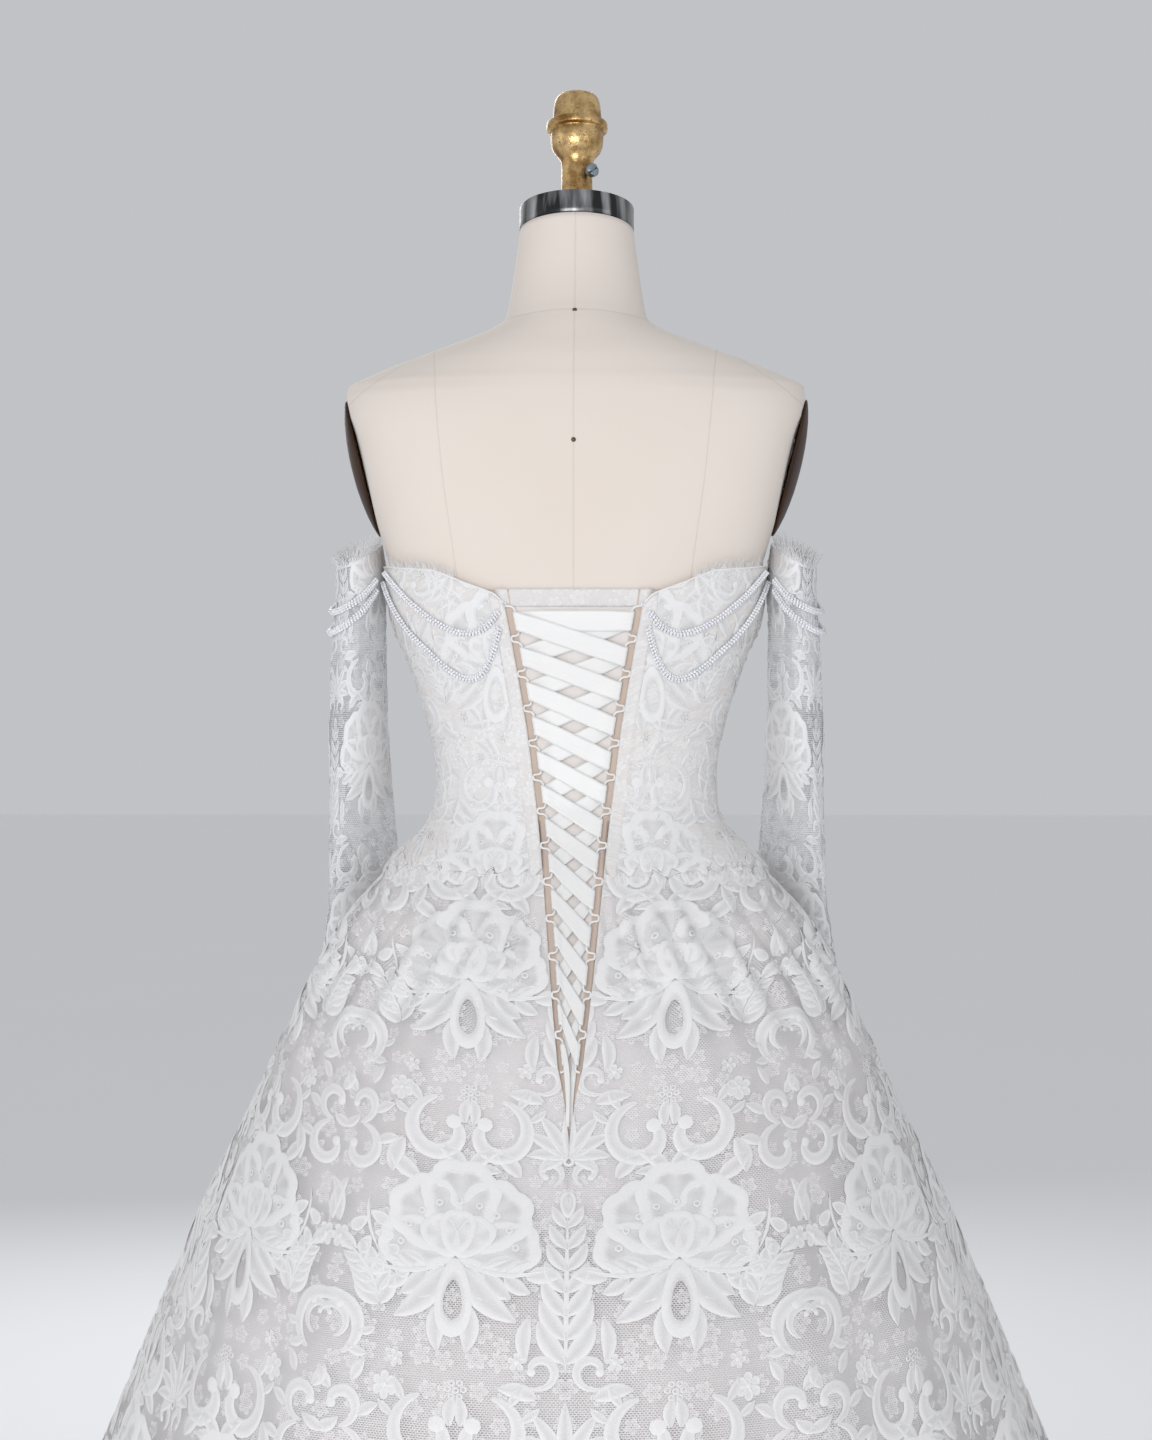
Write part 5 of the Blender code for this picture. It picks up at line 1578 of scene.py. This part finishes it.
def make_ribbon():
    """Each section is 9 points up the ribbon's width, with small gathers where a loop pinches it."""
    places, lengths, run, middle = [], [], 0.0, None
    up = np.linspace(-1, 1, 9)
    for number, row in enumerate(ribbon_rows()):
        ripple = 0.30 * MM * row["pinch"] * np.cos(up * 9.4 + 0.7 * (number % 3))
        half = row["width"] / 2
        if "fold" in row:
            side, loop, angle = row["fold"]
            away = RIBBON_LAYER + ripple * 0.6
            across = side * (np.array([fold_across(loop, u * half) for u in up]) + away * math.sin(angle))
            height = loop_height(loop) + up * half
            out = LOOP_OUT + away * math.cos(angle)
        else:
            x, z, out = row["at"]
            roll = math.radians(row.get("roll", 0.0))
            across = x + up * (row.get("slant", 0.0) + half * math.sin(roll) * 0.6)
            height = z + up * half * math.cos(roll)
            out = out + ripple
        here = np.array([np.mean(across), np.mean(height), np.mean(out)])
        run += 0 if middle is None else float(np.linalg.norm(here - middle))
        middle = here
        places.append(np.stack([across, height, out + 0 * across], -1))
        lengths.append(np.stack([np.full(9, run), up * half], -1))
    table = np.stack(places)
    points = back_out(table[..., 0], table[..., 1], table[..., 2])
    return shell("satin_ribbon", points, SATIN, np.stack(lengths), 0.5 * MM), run


make_loops()
ribbon, ribbon_length = make_ribbon()
place(ribbon, "satin", "lacing_ribbon")


# ---------------------------------------------------------------- the sleeves

# Soft creases of a sleeve: around, its drift to the bottom, half width in degrees, depth, top, bottom
SLEEVE_CREASES = (
    (62, -18, 9, -1.8, 1.24, 0.78),
    (34, 10, 8, 1.3, 1.20, 0.80),
    (108, -10, 9, 1.5, 1.22, 0.84),
    (140, 12, 10, -1.6, 1.20, 0.76),
    (-20, 8, 9, -1.4, 1.22, 0.80),
    (-60, 16, 10, 1.6, 1.24, 0.78),
    (-100, -10, 10, -1.6, 1.20, 0.80),
    (-150, 8, 10, 1.2, 1.20, 0.80),
    (10, -6, 7, 1.2, 1.14, 0.86),
    (84, 6, 7, -1.2, 1.16, 0.90),
)
SLEEVE_GIRTH, SLEEVE_TOP, CUFF, SLEEVE_SCALE = 0.268, 1.2595, 0.7405, 0.72
SLEEVE_FIGURES_TURN = 62  # the figures' centre line faces back and a little out
SLEEVE_SKIN, SLEEVE_LIFT = 0.6 * MM, 0.7  # from the solid's inner face to the net, and the figures' flatness
SLEEVE_STEP, SLEEVE_LEVELS = 4.5, 100  # degrees between the net's columns, and its rows


def sleeve_rise(around, height):
    rise = np.zeros(np.broadcast(around, height).shape)
    for at, drift, half, depth, top, bottom in SLEEVE_CREASES:
        way = np.clip((top - height) / (top - bottom), 0, 1)
        centre = at + drift * way + 4 * np.sin(height * 60 + at)
        away = (np.asarray(around) - centre + 180) % 360 - 180
        strength = smooth_step(way, 0, 0.15) * (1 - smooth_step(way, 0.8, 1))
        strength = strength * (0.6 + 0.4 * np.sin(height * 43 + at))
        rise += depth * MM * strength * np.exp(-((away / half) ** 2))
    pull = 0.5 * MM * np.sin(height * 260 + np.radians(around) * 2) * smooth_step(1.0 - height, -0.05, 0.05)
    return rise + pull


def sleeve_surface(around, height, raised):
    return sleeve_out(around, height, SLEEVE_SKIN + sleeve_rise(around, height) + raised)


def sleeve_axis(points):
    row = smooth_columns(SLEEVE_ROWS, points[:, 2])
    return np.stack([row[:, 0], row[:, 1], points[:, 2]], -1)


def make_sleeves():
    around = -np.arange(0, 360, SLEEVE_STEP)
    tall, turned = np.meshgrid(np.linspace(CUFF, SLEEVE_TOP, SLEEVE_LEVELS), around, indexing="ij")
    grid = sleeve_surface(turned, tall, 0.0)
    flat = np.stack([turned / 360 * SLEEVE_GIRTH, tall], -1)
    nets = {}
    for side, sign in SIDES:
        nets[side] = shell_on(sign, f"sleeve_net_{side}", grid, SLEEVE_NET, flat, closed=True)
    half = SLEEVE_GIRTH / 2
    parts = repeat_parts(-half, half, 0.60, SLEEVE_SCALE, -0.03)
    across, down, lift, cover, quads = joined_parts(parts)
    height = SLEEVE_TOP - down * 0.93
    inside = (np.abs(across) < half) & (height < SLEEVE_TOP) & (height > CUFF)
    height = np.clip(height, CUFF, SLEEVE_TOP)
    turn = np.clip(across / half * 180, -180, 180) + SLEEVE_FIGURES_TURN
    points = sleeve_surface(turn, height, 0.3 * MM + SLEEVE_LIFT * lift)
    flat = np.stack([across, -down], -1)
    pieces = figures_on("sleeve_figures", points, quads, inside, flat, cover, SLEEVE_FIGURES, sleeve_axis, 2)
    figures = dict(zip(("left", "right"), pieces))
    for side, net in nets.items():
        place(net, "sleeve_lace", f"sleeve_{side}")
        place(figures[side], "sleeve_lace")
    return nets, figures


sleeves, sleeve_figures = make_sleeves()


# ---------------------------------------------------------------- bead swags and eyelash edges

BEAD, BEAD_PITCH = 1.45 * MM, 2.85 * MM
SWAG_CLEAR = 2.3 * MM  # from the cloth's outer face, with its gaps, to a swag's middle line
# name, start turn, start height, end x, end height, drop
BACK_SWAGS = (
    ("upper", 77, 1.2430, 0.0610, 1.2080, 0.029),
    ("lower", 81, 1.2350, 0.0600, 1.1960, 0.057),
)
SLEEVE_SWAGS = (("upper", 1.2350, 0.018), ("lower", 1.2265, 0.032))
SLEEVE_SWAG_ENDS = (135, -67.5)
SWAG_SKEW, SLEEVE_SWAG_SKEW = 1.35, 1.0
# The bead rows of a swag: across it, off its middle, and their shift along it in beads
BEAD_ROWS = ((-1.7, -0.55, 0.0), (1.7, -0.55, 0.5), (0.0, 0.95, 0.25))


def hang(share, drop, skew):
    return drop * (1 - (2 * share**skew - 1) ** 2)


def ball():
    """A small round bead."""
    polar = np.radians([0, 52, 90, 128, 180])[:, None]
    around = np.radians(np.arange(0, 360, 60))
    ring = np.sin(polar)
    points = np.stack([ring * np.cos(around), ring * np.sin(around), np.cos(polar) + 0 * around], -1)
    return points.reshape(-1, 3), grid_faces(5, 6, True)[:, ::-1]


BALL_POINTS, BALL_FACES = ball()


def bead_string(name, path, outward, node_name, sign):
    """Two rows of beads side by side with a third between and over them, along a path."""
    fine, normals = smooth_path(path, 12), smooth_path(outward, 12)
    run = run_along(fine)
    beads = []
    for across, over, shift in BEAD_ROWS:
        along = np.arange(shift * BEAD_PITCH, run[-1], BEAD_PITCH)
        centre, normal = read_along(along, run, fine), unit(read_along(along, run, normals))
        tangent = unit(np.gradient(centre, axis=0))
        centre = centre + np.cross(normal, tangent) * across * MM + normal * over * MM
        for place_at in centre:
            size = BEAD * (0.93 + 0.14 * RANDOM.random())
            beads.append((place_at + BALL_POINTS * size, BALL_FACES))
    place(surface(name, *on_side(sign, *joined_meshes(beads)), BEADS), "beads", node_name)


def hang_both(node_name, path, outward):
    for side, sign in SIDES:
        bead_string(f"bead_{node_name}_{side}", path, outward, f"{node_name}_{side}", sign)


def make_swags():
    share = np.linspace(0, 1, 12)
    clear = BODICE_OUT + BODICE_WALL + 3 * GAP + SWAG_CLEAR
    for name, turn, height, end_across, end_height, drop in BACK_SWAGS:
        end_turn = turn_at(end_across, end_height)
        turns = turn + (end_turn - turn) * share
        heights = height + (end_height - height) * share - hang(share, drop, SWAG_SKEW)
        path = dress_out(turns, heights, clear)
        outward = dress_out(turns, heights, clear + 0.01) - path
        hang_both(f"swag_back_{name}", path, outward)
    first, last = SLEEVE_SWAG_ENDS
    around = np.arange(first, last - 1, -22.5)
    share = (first - around) / (first - last)
    clear = SLEEVE_WALL + 5 * GAP + SWAG_CLEAR
    for name, height, drop in SLEEVE_SWAGS:
        heights = height - hang(share, drop, SLEEVE_SWAG_SKEW)
        path = sleeve_out(around, heights, clear)
        outward = sleeve_out(around, heights, clear + 0.01) - path
        hang_both(f"swag_sleeve_{name}", path, outward)


LASH_HALF, LASH_ROOT = 0.36 * MM, 1.5 * MM  # a thread's half width, and how far it starts below the edge


def lash_fringe(name, node_name, sign, path, outward, count, longest):
    """Fine loose threads along an edge, unevenly spaced, standing up and leaning out."""
    run = run_along(path)
    threads, seeds = [], np.random.default_rng(11)
    for number in range(count):
        along = run[-1] * (number + 0.7 * seeds.random()) / count
        centre, normal = read_along(along, run, path), unit(read_along(along, run, outward))
        ahead = read_along(min(along + MM, run[-1]), run, path)
        tangent = unit(ahead - read_along(max(along - MM, 0), run, path))
        length = longest * (0.45 + 0.55 * seeds.random())
        lean, sway = 0.1 + 0.8 * seeds.random(), seeds.normal(0, 0.5)
        t = np.linspace(0, 1, 4)[:, None]
        direction = np.array([0, 0, 1.0]) * t + normal * lean * t**1.6 + tangent * sway * t**1.3
        line = centre + direction * length - np.array([0, 0, LASH_ROOT]) * (1 - t)
        wide = LASH_HALF * (1 - 0.7 * t)
        strip = np.stack([line - tangent * wide, line + normal * wide * 0.6, line + tangent * wide], axis=1)
        threads.append((strip, grid_faces(4, 3)))
    points, faces = on_side(sign, *joined_meshes(threads))
    made = surface(name, points, faces, THREAD, points[:, [0, 2]], np.ones(len(points)))
    place(made, "white_lace", node_name)


def make_lashes():
    turns = np.linspace(50, 74, 20)
    back_path = bodice_surface(turns, neckline(turns) - 0.5 * MM, 0.0)
    back_outward = dress_out(turns, neckline(turns), 0.02) - dress_out(turns, neckline(turns), 0.0)
    around = np.linspace(142, -142, 73)
    height = np.full(len(around), SLEEVE_TOP - 0.5 * MM)
    sleeve_outward = sleeve_out(around, height, 0.02) - sleeve_out(around, height, 0.0)
    # place, path, outward, count of threads, longest
    edges = (
        ("back", back_path, back_outward, 120, 10 * MM),
        ("sleeve", sleeve_surface(around, height, 0.0), sleeve_outward, 460, 13 * MM),
    )
    for side, sign in SIDES:
        for edge, *fringe in edges:
            lash_fringe(f"lashes_{edge}_{side}", f"eyelash_{edge}_{side}", sign, *fringe)


make_swags()
make_lashes()


# ---------------------------------------------------------------- the dress form


def make_form():
    turns = np.arange(0, 360, 3)
    # lowest, highest, rows of each stretch, closest on the shoulders
    stretches = ((0.8005, 1.39, 40), (1.393, 1.47, 50), (1.474, 1.5405, 16))
    heights = np.concatenate([np.linspace(*stretch) for stretch in stretches])
    tall = np.broadcast_to(heights[:, None], (len(heights), len(turns)))
    points = form_point(np.broadcast_to(turns, tall.shape), tall)
    centre = smooth_columns(FORM_ROWS, heights)[:, 1]
    lean = np.clip((heights - LEAN_STARTS) / (FORM_ROWS[0][0] - LEAN_STARTS), 0, 1) * math.tan(NECK_LEAN)
    points[..., 2] += lean[:, None] * (points[..., 1] - centre[:, None])
    low, high = (row.mean(axis=1, keepdims=True) * 0.99 + row * 0.01 for row in (points[:1], points[-1:]))
    points = np.concatenate([low, points, high])
    flat = np.stack(np.broadcast_arrays(turns[None, :] / 360, np.linspace(0, 1, len(points))[:, None]), -1)
    place(shell("form_cover", points, COVER, flat, 0.0, True), "form_cover", "form_torso")
    # height of each tack on the centre back
    for number, height in enumerate((1.4610, 1.3480)):
        outline = [(0.01, -0.6), (2.0, -0.6), (2.0, 0.1), (1.2, 0.55), (0.01, 0.7)]
        head = revolve(f"form_tack_{number + 1}", [(r * MM, h * MM) for r, h in outline], 16, TACK_STEEL)
        head.location = form_point(0.0, height) + np.array([0, 0.1 * MM, 0])
        head.rotation_euler = (-math.pi / 2, 0, 0)
        place(head, "zinc")


make_form()

neck_top, neck_y = FORM_ROWS[0][0], FORM_ROWS[0][2]
SEAT = Matrix.Translation((0, neck_y, neck_top)) @ Matrix.Rotation(NECK_LEAN, 4, "X")
CAP_RADIUS, CAP_HEIGHT = 49.5, 20.0


def on_neck(piece, slot, *replaced):
    """Turns a piece's mesh from the neck's seat into the frame, and places it."""
    piece.data.transform(SEAT)
    return place(piece, slot, *replaced)


# radius and height above the neck's seat, in millimetres
CAP = (
    (0.1, 0.3),
    (CAP_RADIUS - 0.4, 0.3),
    (CAP_RADIUS, 0.7),
    (CAP_RADIUS, 5.0),
    (CAP_RADIUS, 10.0),
    (CAP_RADIUS, 15.0),
    (CAP_RADIUS, CAP_HEIGHT - 0.6),
    (CAP_RADIUS - 0.25, CAP_HEIGHT - 0.05),
    (CAP_RADIUS - 0.9, CAP_HEIGHT + 0.3),
    (CAP_RADIUS - 4.0, CAP_HEIGHT + 0.3),
    (22.0, CAP_HEIGHT + 0.3),
    (0.1, CAP_HEIGHT + 0.3),
)
on_neck(revolve("neck_cap_steel", np.array(CAP) * MM, 120, STEEL), "brushed_steel", "form_neck_cap")

# radius and height above the cap, in millimetres
FINIAL = (
    (0.1, 0.0),
    (15.3, 0.0),
    (15.5, 0.6),
    (15.5, 8.4),
    (15.2, 9.0),
    (13.6, 9.6),
    (13.4, 10.4),
    (13.4, 24.0),
    (13.4, 38.0),
    (13.7, 41.0),
    (14.5, 44.0),
    (17.0, 47.8),
    (20.0, 51.5),
    (22.0, 56.0),
    (22.7, 60.5),
    (22.9, 65.0),
    (22.7, 69.0),
    (23.2, 70.3),
    (25.6, 71.0),
    (26.5, 72.2),
    (26.5, 76.2),
    (25.7, 77.4),
    (22.5, 78.0),
    (21.1, 79.0),
    (21.2, 82.0),
    (20.9, 87.0),
    (20.3, 93.0),
    (19.4, 97.6),
    (17.6, 101.2),
    (14.8, 102.8),
    (8.0, 103.0),
    (0.1, 103.0),
)
FINIAL_BASE = (0.6 + CAP_HEIGHT) * MM
finial_line = np.maximum(smooth_path(np.array(FINIAL), 2) * MM, 0) + (0.05 * MM, FINIAL_BASE)
on_neck(revolve("finial_brass", finial_line, 96, BRASS), "brass", "form_finial")


def make_mould_line():
    """The fine raised line that the casting mould left down both sides of the finial."""
    outline = smooth_path(np.array(FINIAL[6:30]), 4) * MM
    lines = []
    for angle in (math.radians(118), math.radians(298)):
        across = outline[:, :1] * [[math.cos(angle), math.sin(angle)]]
        lines.append(sweep(np.concatenate([across, outline[:, 1:] + FINIAL_BASE], axis=1), 0.35 * MM, 6))
    return surface("finial_mould_line", *joined_meshes(lines), BRASS)


on_neck(make_mould_line(), "brass")


SCREW_TURN, SCREW_HEIGHT, STEM_RADIUS = -42, 29.5 * MM, 13.4 * MM
SLOT_SIZE, SLOT_AT = (1.3 * MM, 24 * MM, 3.2 * MM), 9 * MM
# radius and distance out from the finial's stem, in millimetres
SCREW = (
    (0.05, 0.0),
    (3.0, 0.0),
    (3.0, 4.0),
    (5.6, 4.0),
    (6.0, 4.4),
    (6.0, 8.0),
    (5.7, 8.6),
    (5.0, 9.0),
    (0.05, 9.05),
)


def make_screw():
    screw = revolve("set_screw_zinc", np.array(SCREW) * MM, 48, ZINC)
    bpy.ops.mesh.primitive_cube_add(size=1.0)
    cutter = bpy.context.object
    cutter.scale = SLOT_SIZE
    cutter.location = (0, 0, SLOT_AT)
    cut = screw.modifiers.new("slot", "BOOLEAN")
    cut.object, cut.operation = cutter, "DIFFERENCE"
    bpy.context.view_layer.update()
    made = bpy.data.meshes.new_from_object(screw.evaluated_get(bpy.context.evaluated_depsgraph_get()))
    screw.modifiers.clear()
    screw.data = made
    bpy.data.objects.remove(cutter, do_unlink=True)
    turn, start = math.radians(SCREW_TURN), STEM_RADIUS + GAP
    out_x, out_y = math.sin(turn), math.cos(turn)
    spot = Matrix.Translation((start * out_x, start * out_y, FINIAL_BASE + SCREW_HEIGHT))
    lie = Euler((0, math.pi / 2, math.atan2(out_y, out_x))).to_matrix().to_4x4()
    screw.data.transform(spot @ lie @ Matrix.Rotation(math.radians(38), 4, "Z"))
    return screw


on_neck(make_screw(), "zinc", "form_set_screw")

PLATE = dict(height=0.120, width=0.080, crown=10.5, x=0.1814, z=1.3335, slope=0.25)
# An arm plate's outline: share of its radius, share of its crown
PLATE_ROWS = (
    (0.0, 1.0),
    (0.16, 0.985),
    (0.34, 0.93),
    (0.52, 0.82),
    (0.70, 0.655),
    (0.85, 0.45),
    (0.94, 0.29),
    (0.985, 0.19),
    (1.0, 0.12),
    (1.0, 0.02),
    (0.97, 0.0),
    (0.0, 0.0),
)


def make_plate(side, sign):
    """An arm plate: an oval dome with a rounded rim."""
    turns = np.radians(np.arange(0, 360, 5))[None, :]
    share, rise = np.array(PLATE_ROWS).T[:, :, None]
    up, along = PLATE["height"] / 2 * share * np.cos(turns), PLATE["width"] / 2 * share * np.sin(turns)
    points = np.stack([up, along, PLATE["crown"] * MM * rise + 0 * up], -1)
    faces = grid_faces(len(PLATE_ROWS), turns.size, True)
    plate = surface(f"arm_plate_dish_{side}", points, faces, PLATE_BROWN)
    turn = Euler((0, sign * (math.pi / 2 + math.atan(PLATE["slope"])), 0)).to_matrix().to_4x4()
    plate.data.transform(Matrix.Translation((sign * PLATE["x"], -0.003, PLATE["z"])) @ turn)
    return place(plate, "arm_plate", f"form_arm_plate_{side}")


for side, sign in SIDES:
    make_plate(side, sign)

for name, finish in (("form_pole", STEEL), ("form_base", STAND_BLACK)):
    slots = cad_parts[name].material_slots
    for number in range(len(slots)):
        slots[number].material = finish


# ---------------------------------------------------------------- floor, lights and camera


def make_floor():
    bpy.ops.mesh.primitive_plane_add(size=60.0)
    floor = bpy.context.object
    floor.name = "floor"
    pale = (0.93, 0.93, 0.94)
    made, tree, shader = material("floor_pale", pale, 0.9)
    coloured(tree, shader, noise(tree, coordinates(tree, "Object"), 0.8), pale, (0.95, 0.95, 0.96))
    floor.data.materials.append(made)


def make_light(name, at, size, power, target=(0, 0, 1.12)):
    lamp = bpy.data.lights.new(name, "AREA")
    lamp.shape = "RECTANGLE"
    lamp.size, lamp.size_y = size
    lamp.energy = power
    thing = bpy.data.objects.new(name, lamp)
    bpy.context.scene.collection.objects.link(thing)
    thing.location = at
    thing.rotation_euler = (Vector(target) - Vector(at)).to_track_quat("-Z", "Y").to_euler()


make_floor()
# name, place, size, watts
for lamp in (
    ("key", (0.60, 2.9, 1.25), (1.4, 1.4), 32.5),
    ("fill", (-2.4, 2.4, 1.7), (1.5, 1.8), 7),
    ("side_left", (2.9, 0.6, 1.9), (1.2, 1.8), 3),
    ("front_fill", (0.6, -3.2, 2.4), (1.8, 1.8), 34),
):
    make_light(*lamp)

world = bpy.data.worlds.new("studio")
bpy.context.scene.world = world
world.use_nodes = True
background = world.node_tree.nodes["Background"]
background.inputs["Color"].default_value = (0.95, 0.965, 1.0, 1.0)
background.inputs["Strength"].default_value = 0.56
bpy.context.scene.view_settings.view_transform = "Standard"

camera = bpy.data.cameras.new("camera")
camera.sensor_fit = "VERTICAL"
camera.sensor_height = 24.0
camera.lens = 45.8
eye = bpy.data.objects.new("camera", camera)
bpy.context.scene.collection.objects.link(eye)
turned_left, distance, eye_height = math.radians(1.2), 2.35, 1.118
eye.location = (-distance * math.sin(turned_left), distance * math.cos(turned_left), eye_height)
eye.rotation_euler = (math.pi / 2, 0, math.pi + turned_left)
bpy.context.scene.camera = eye
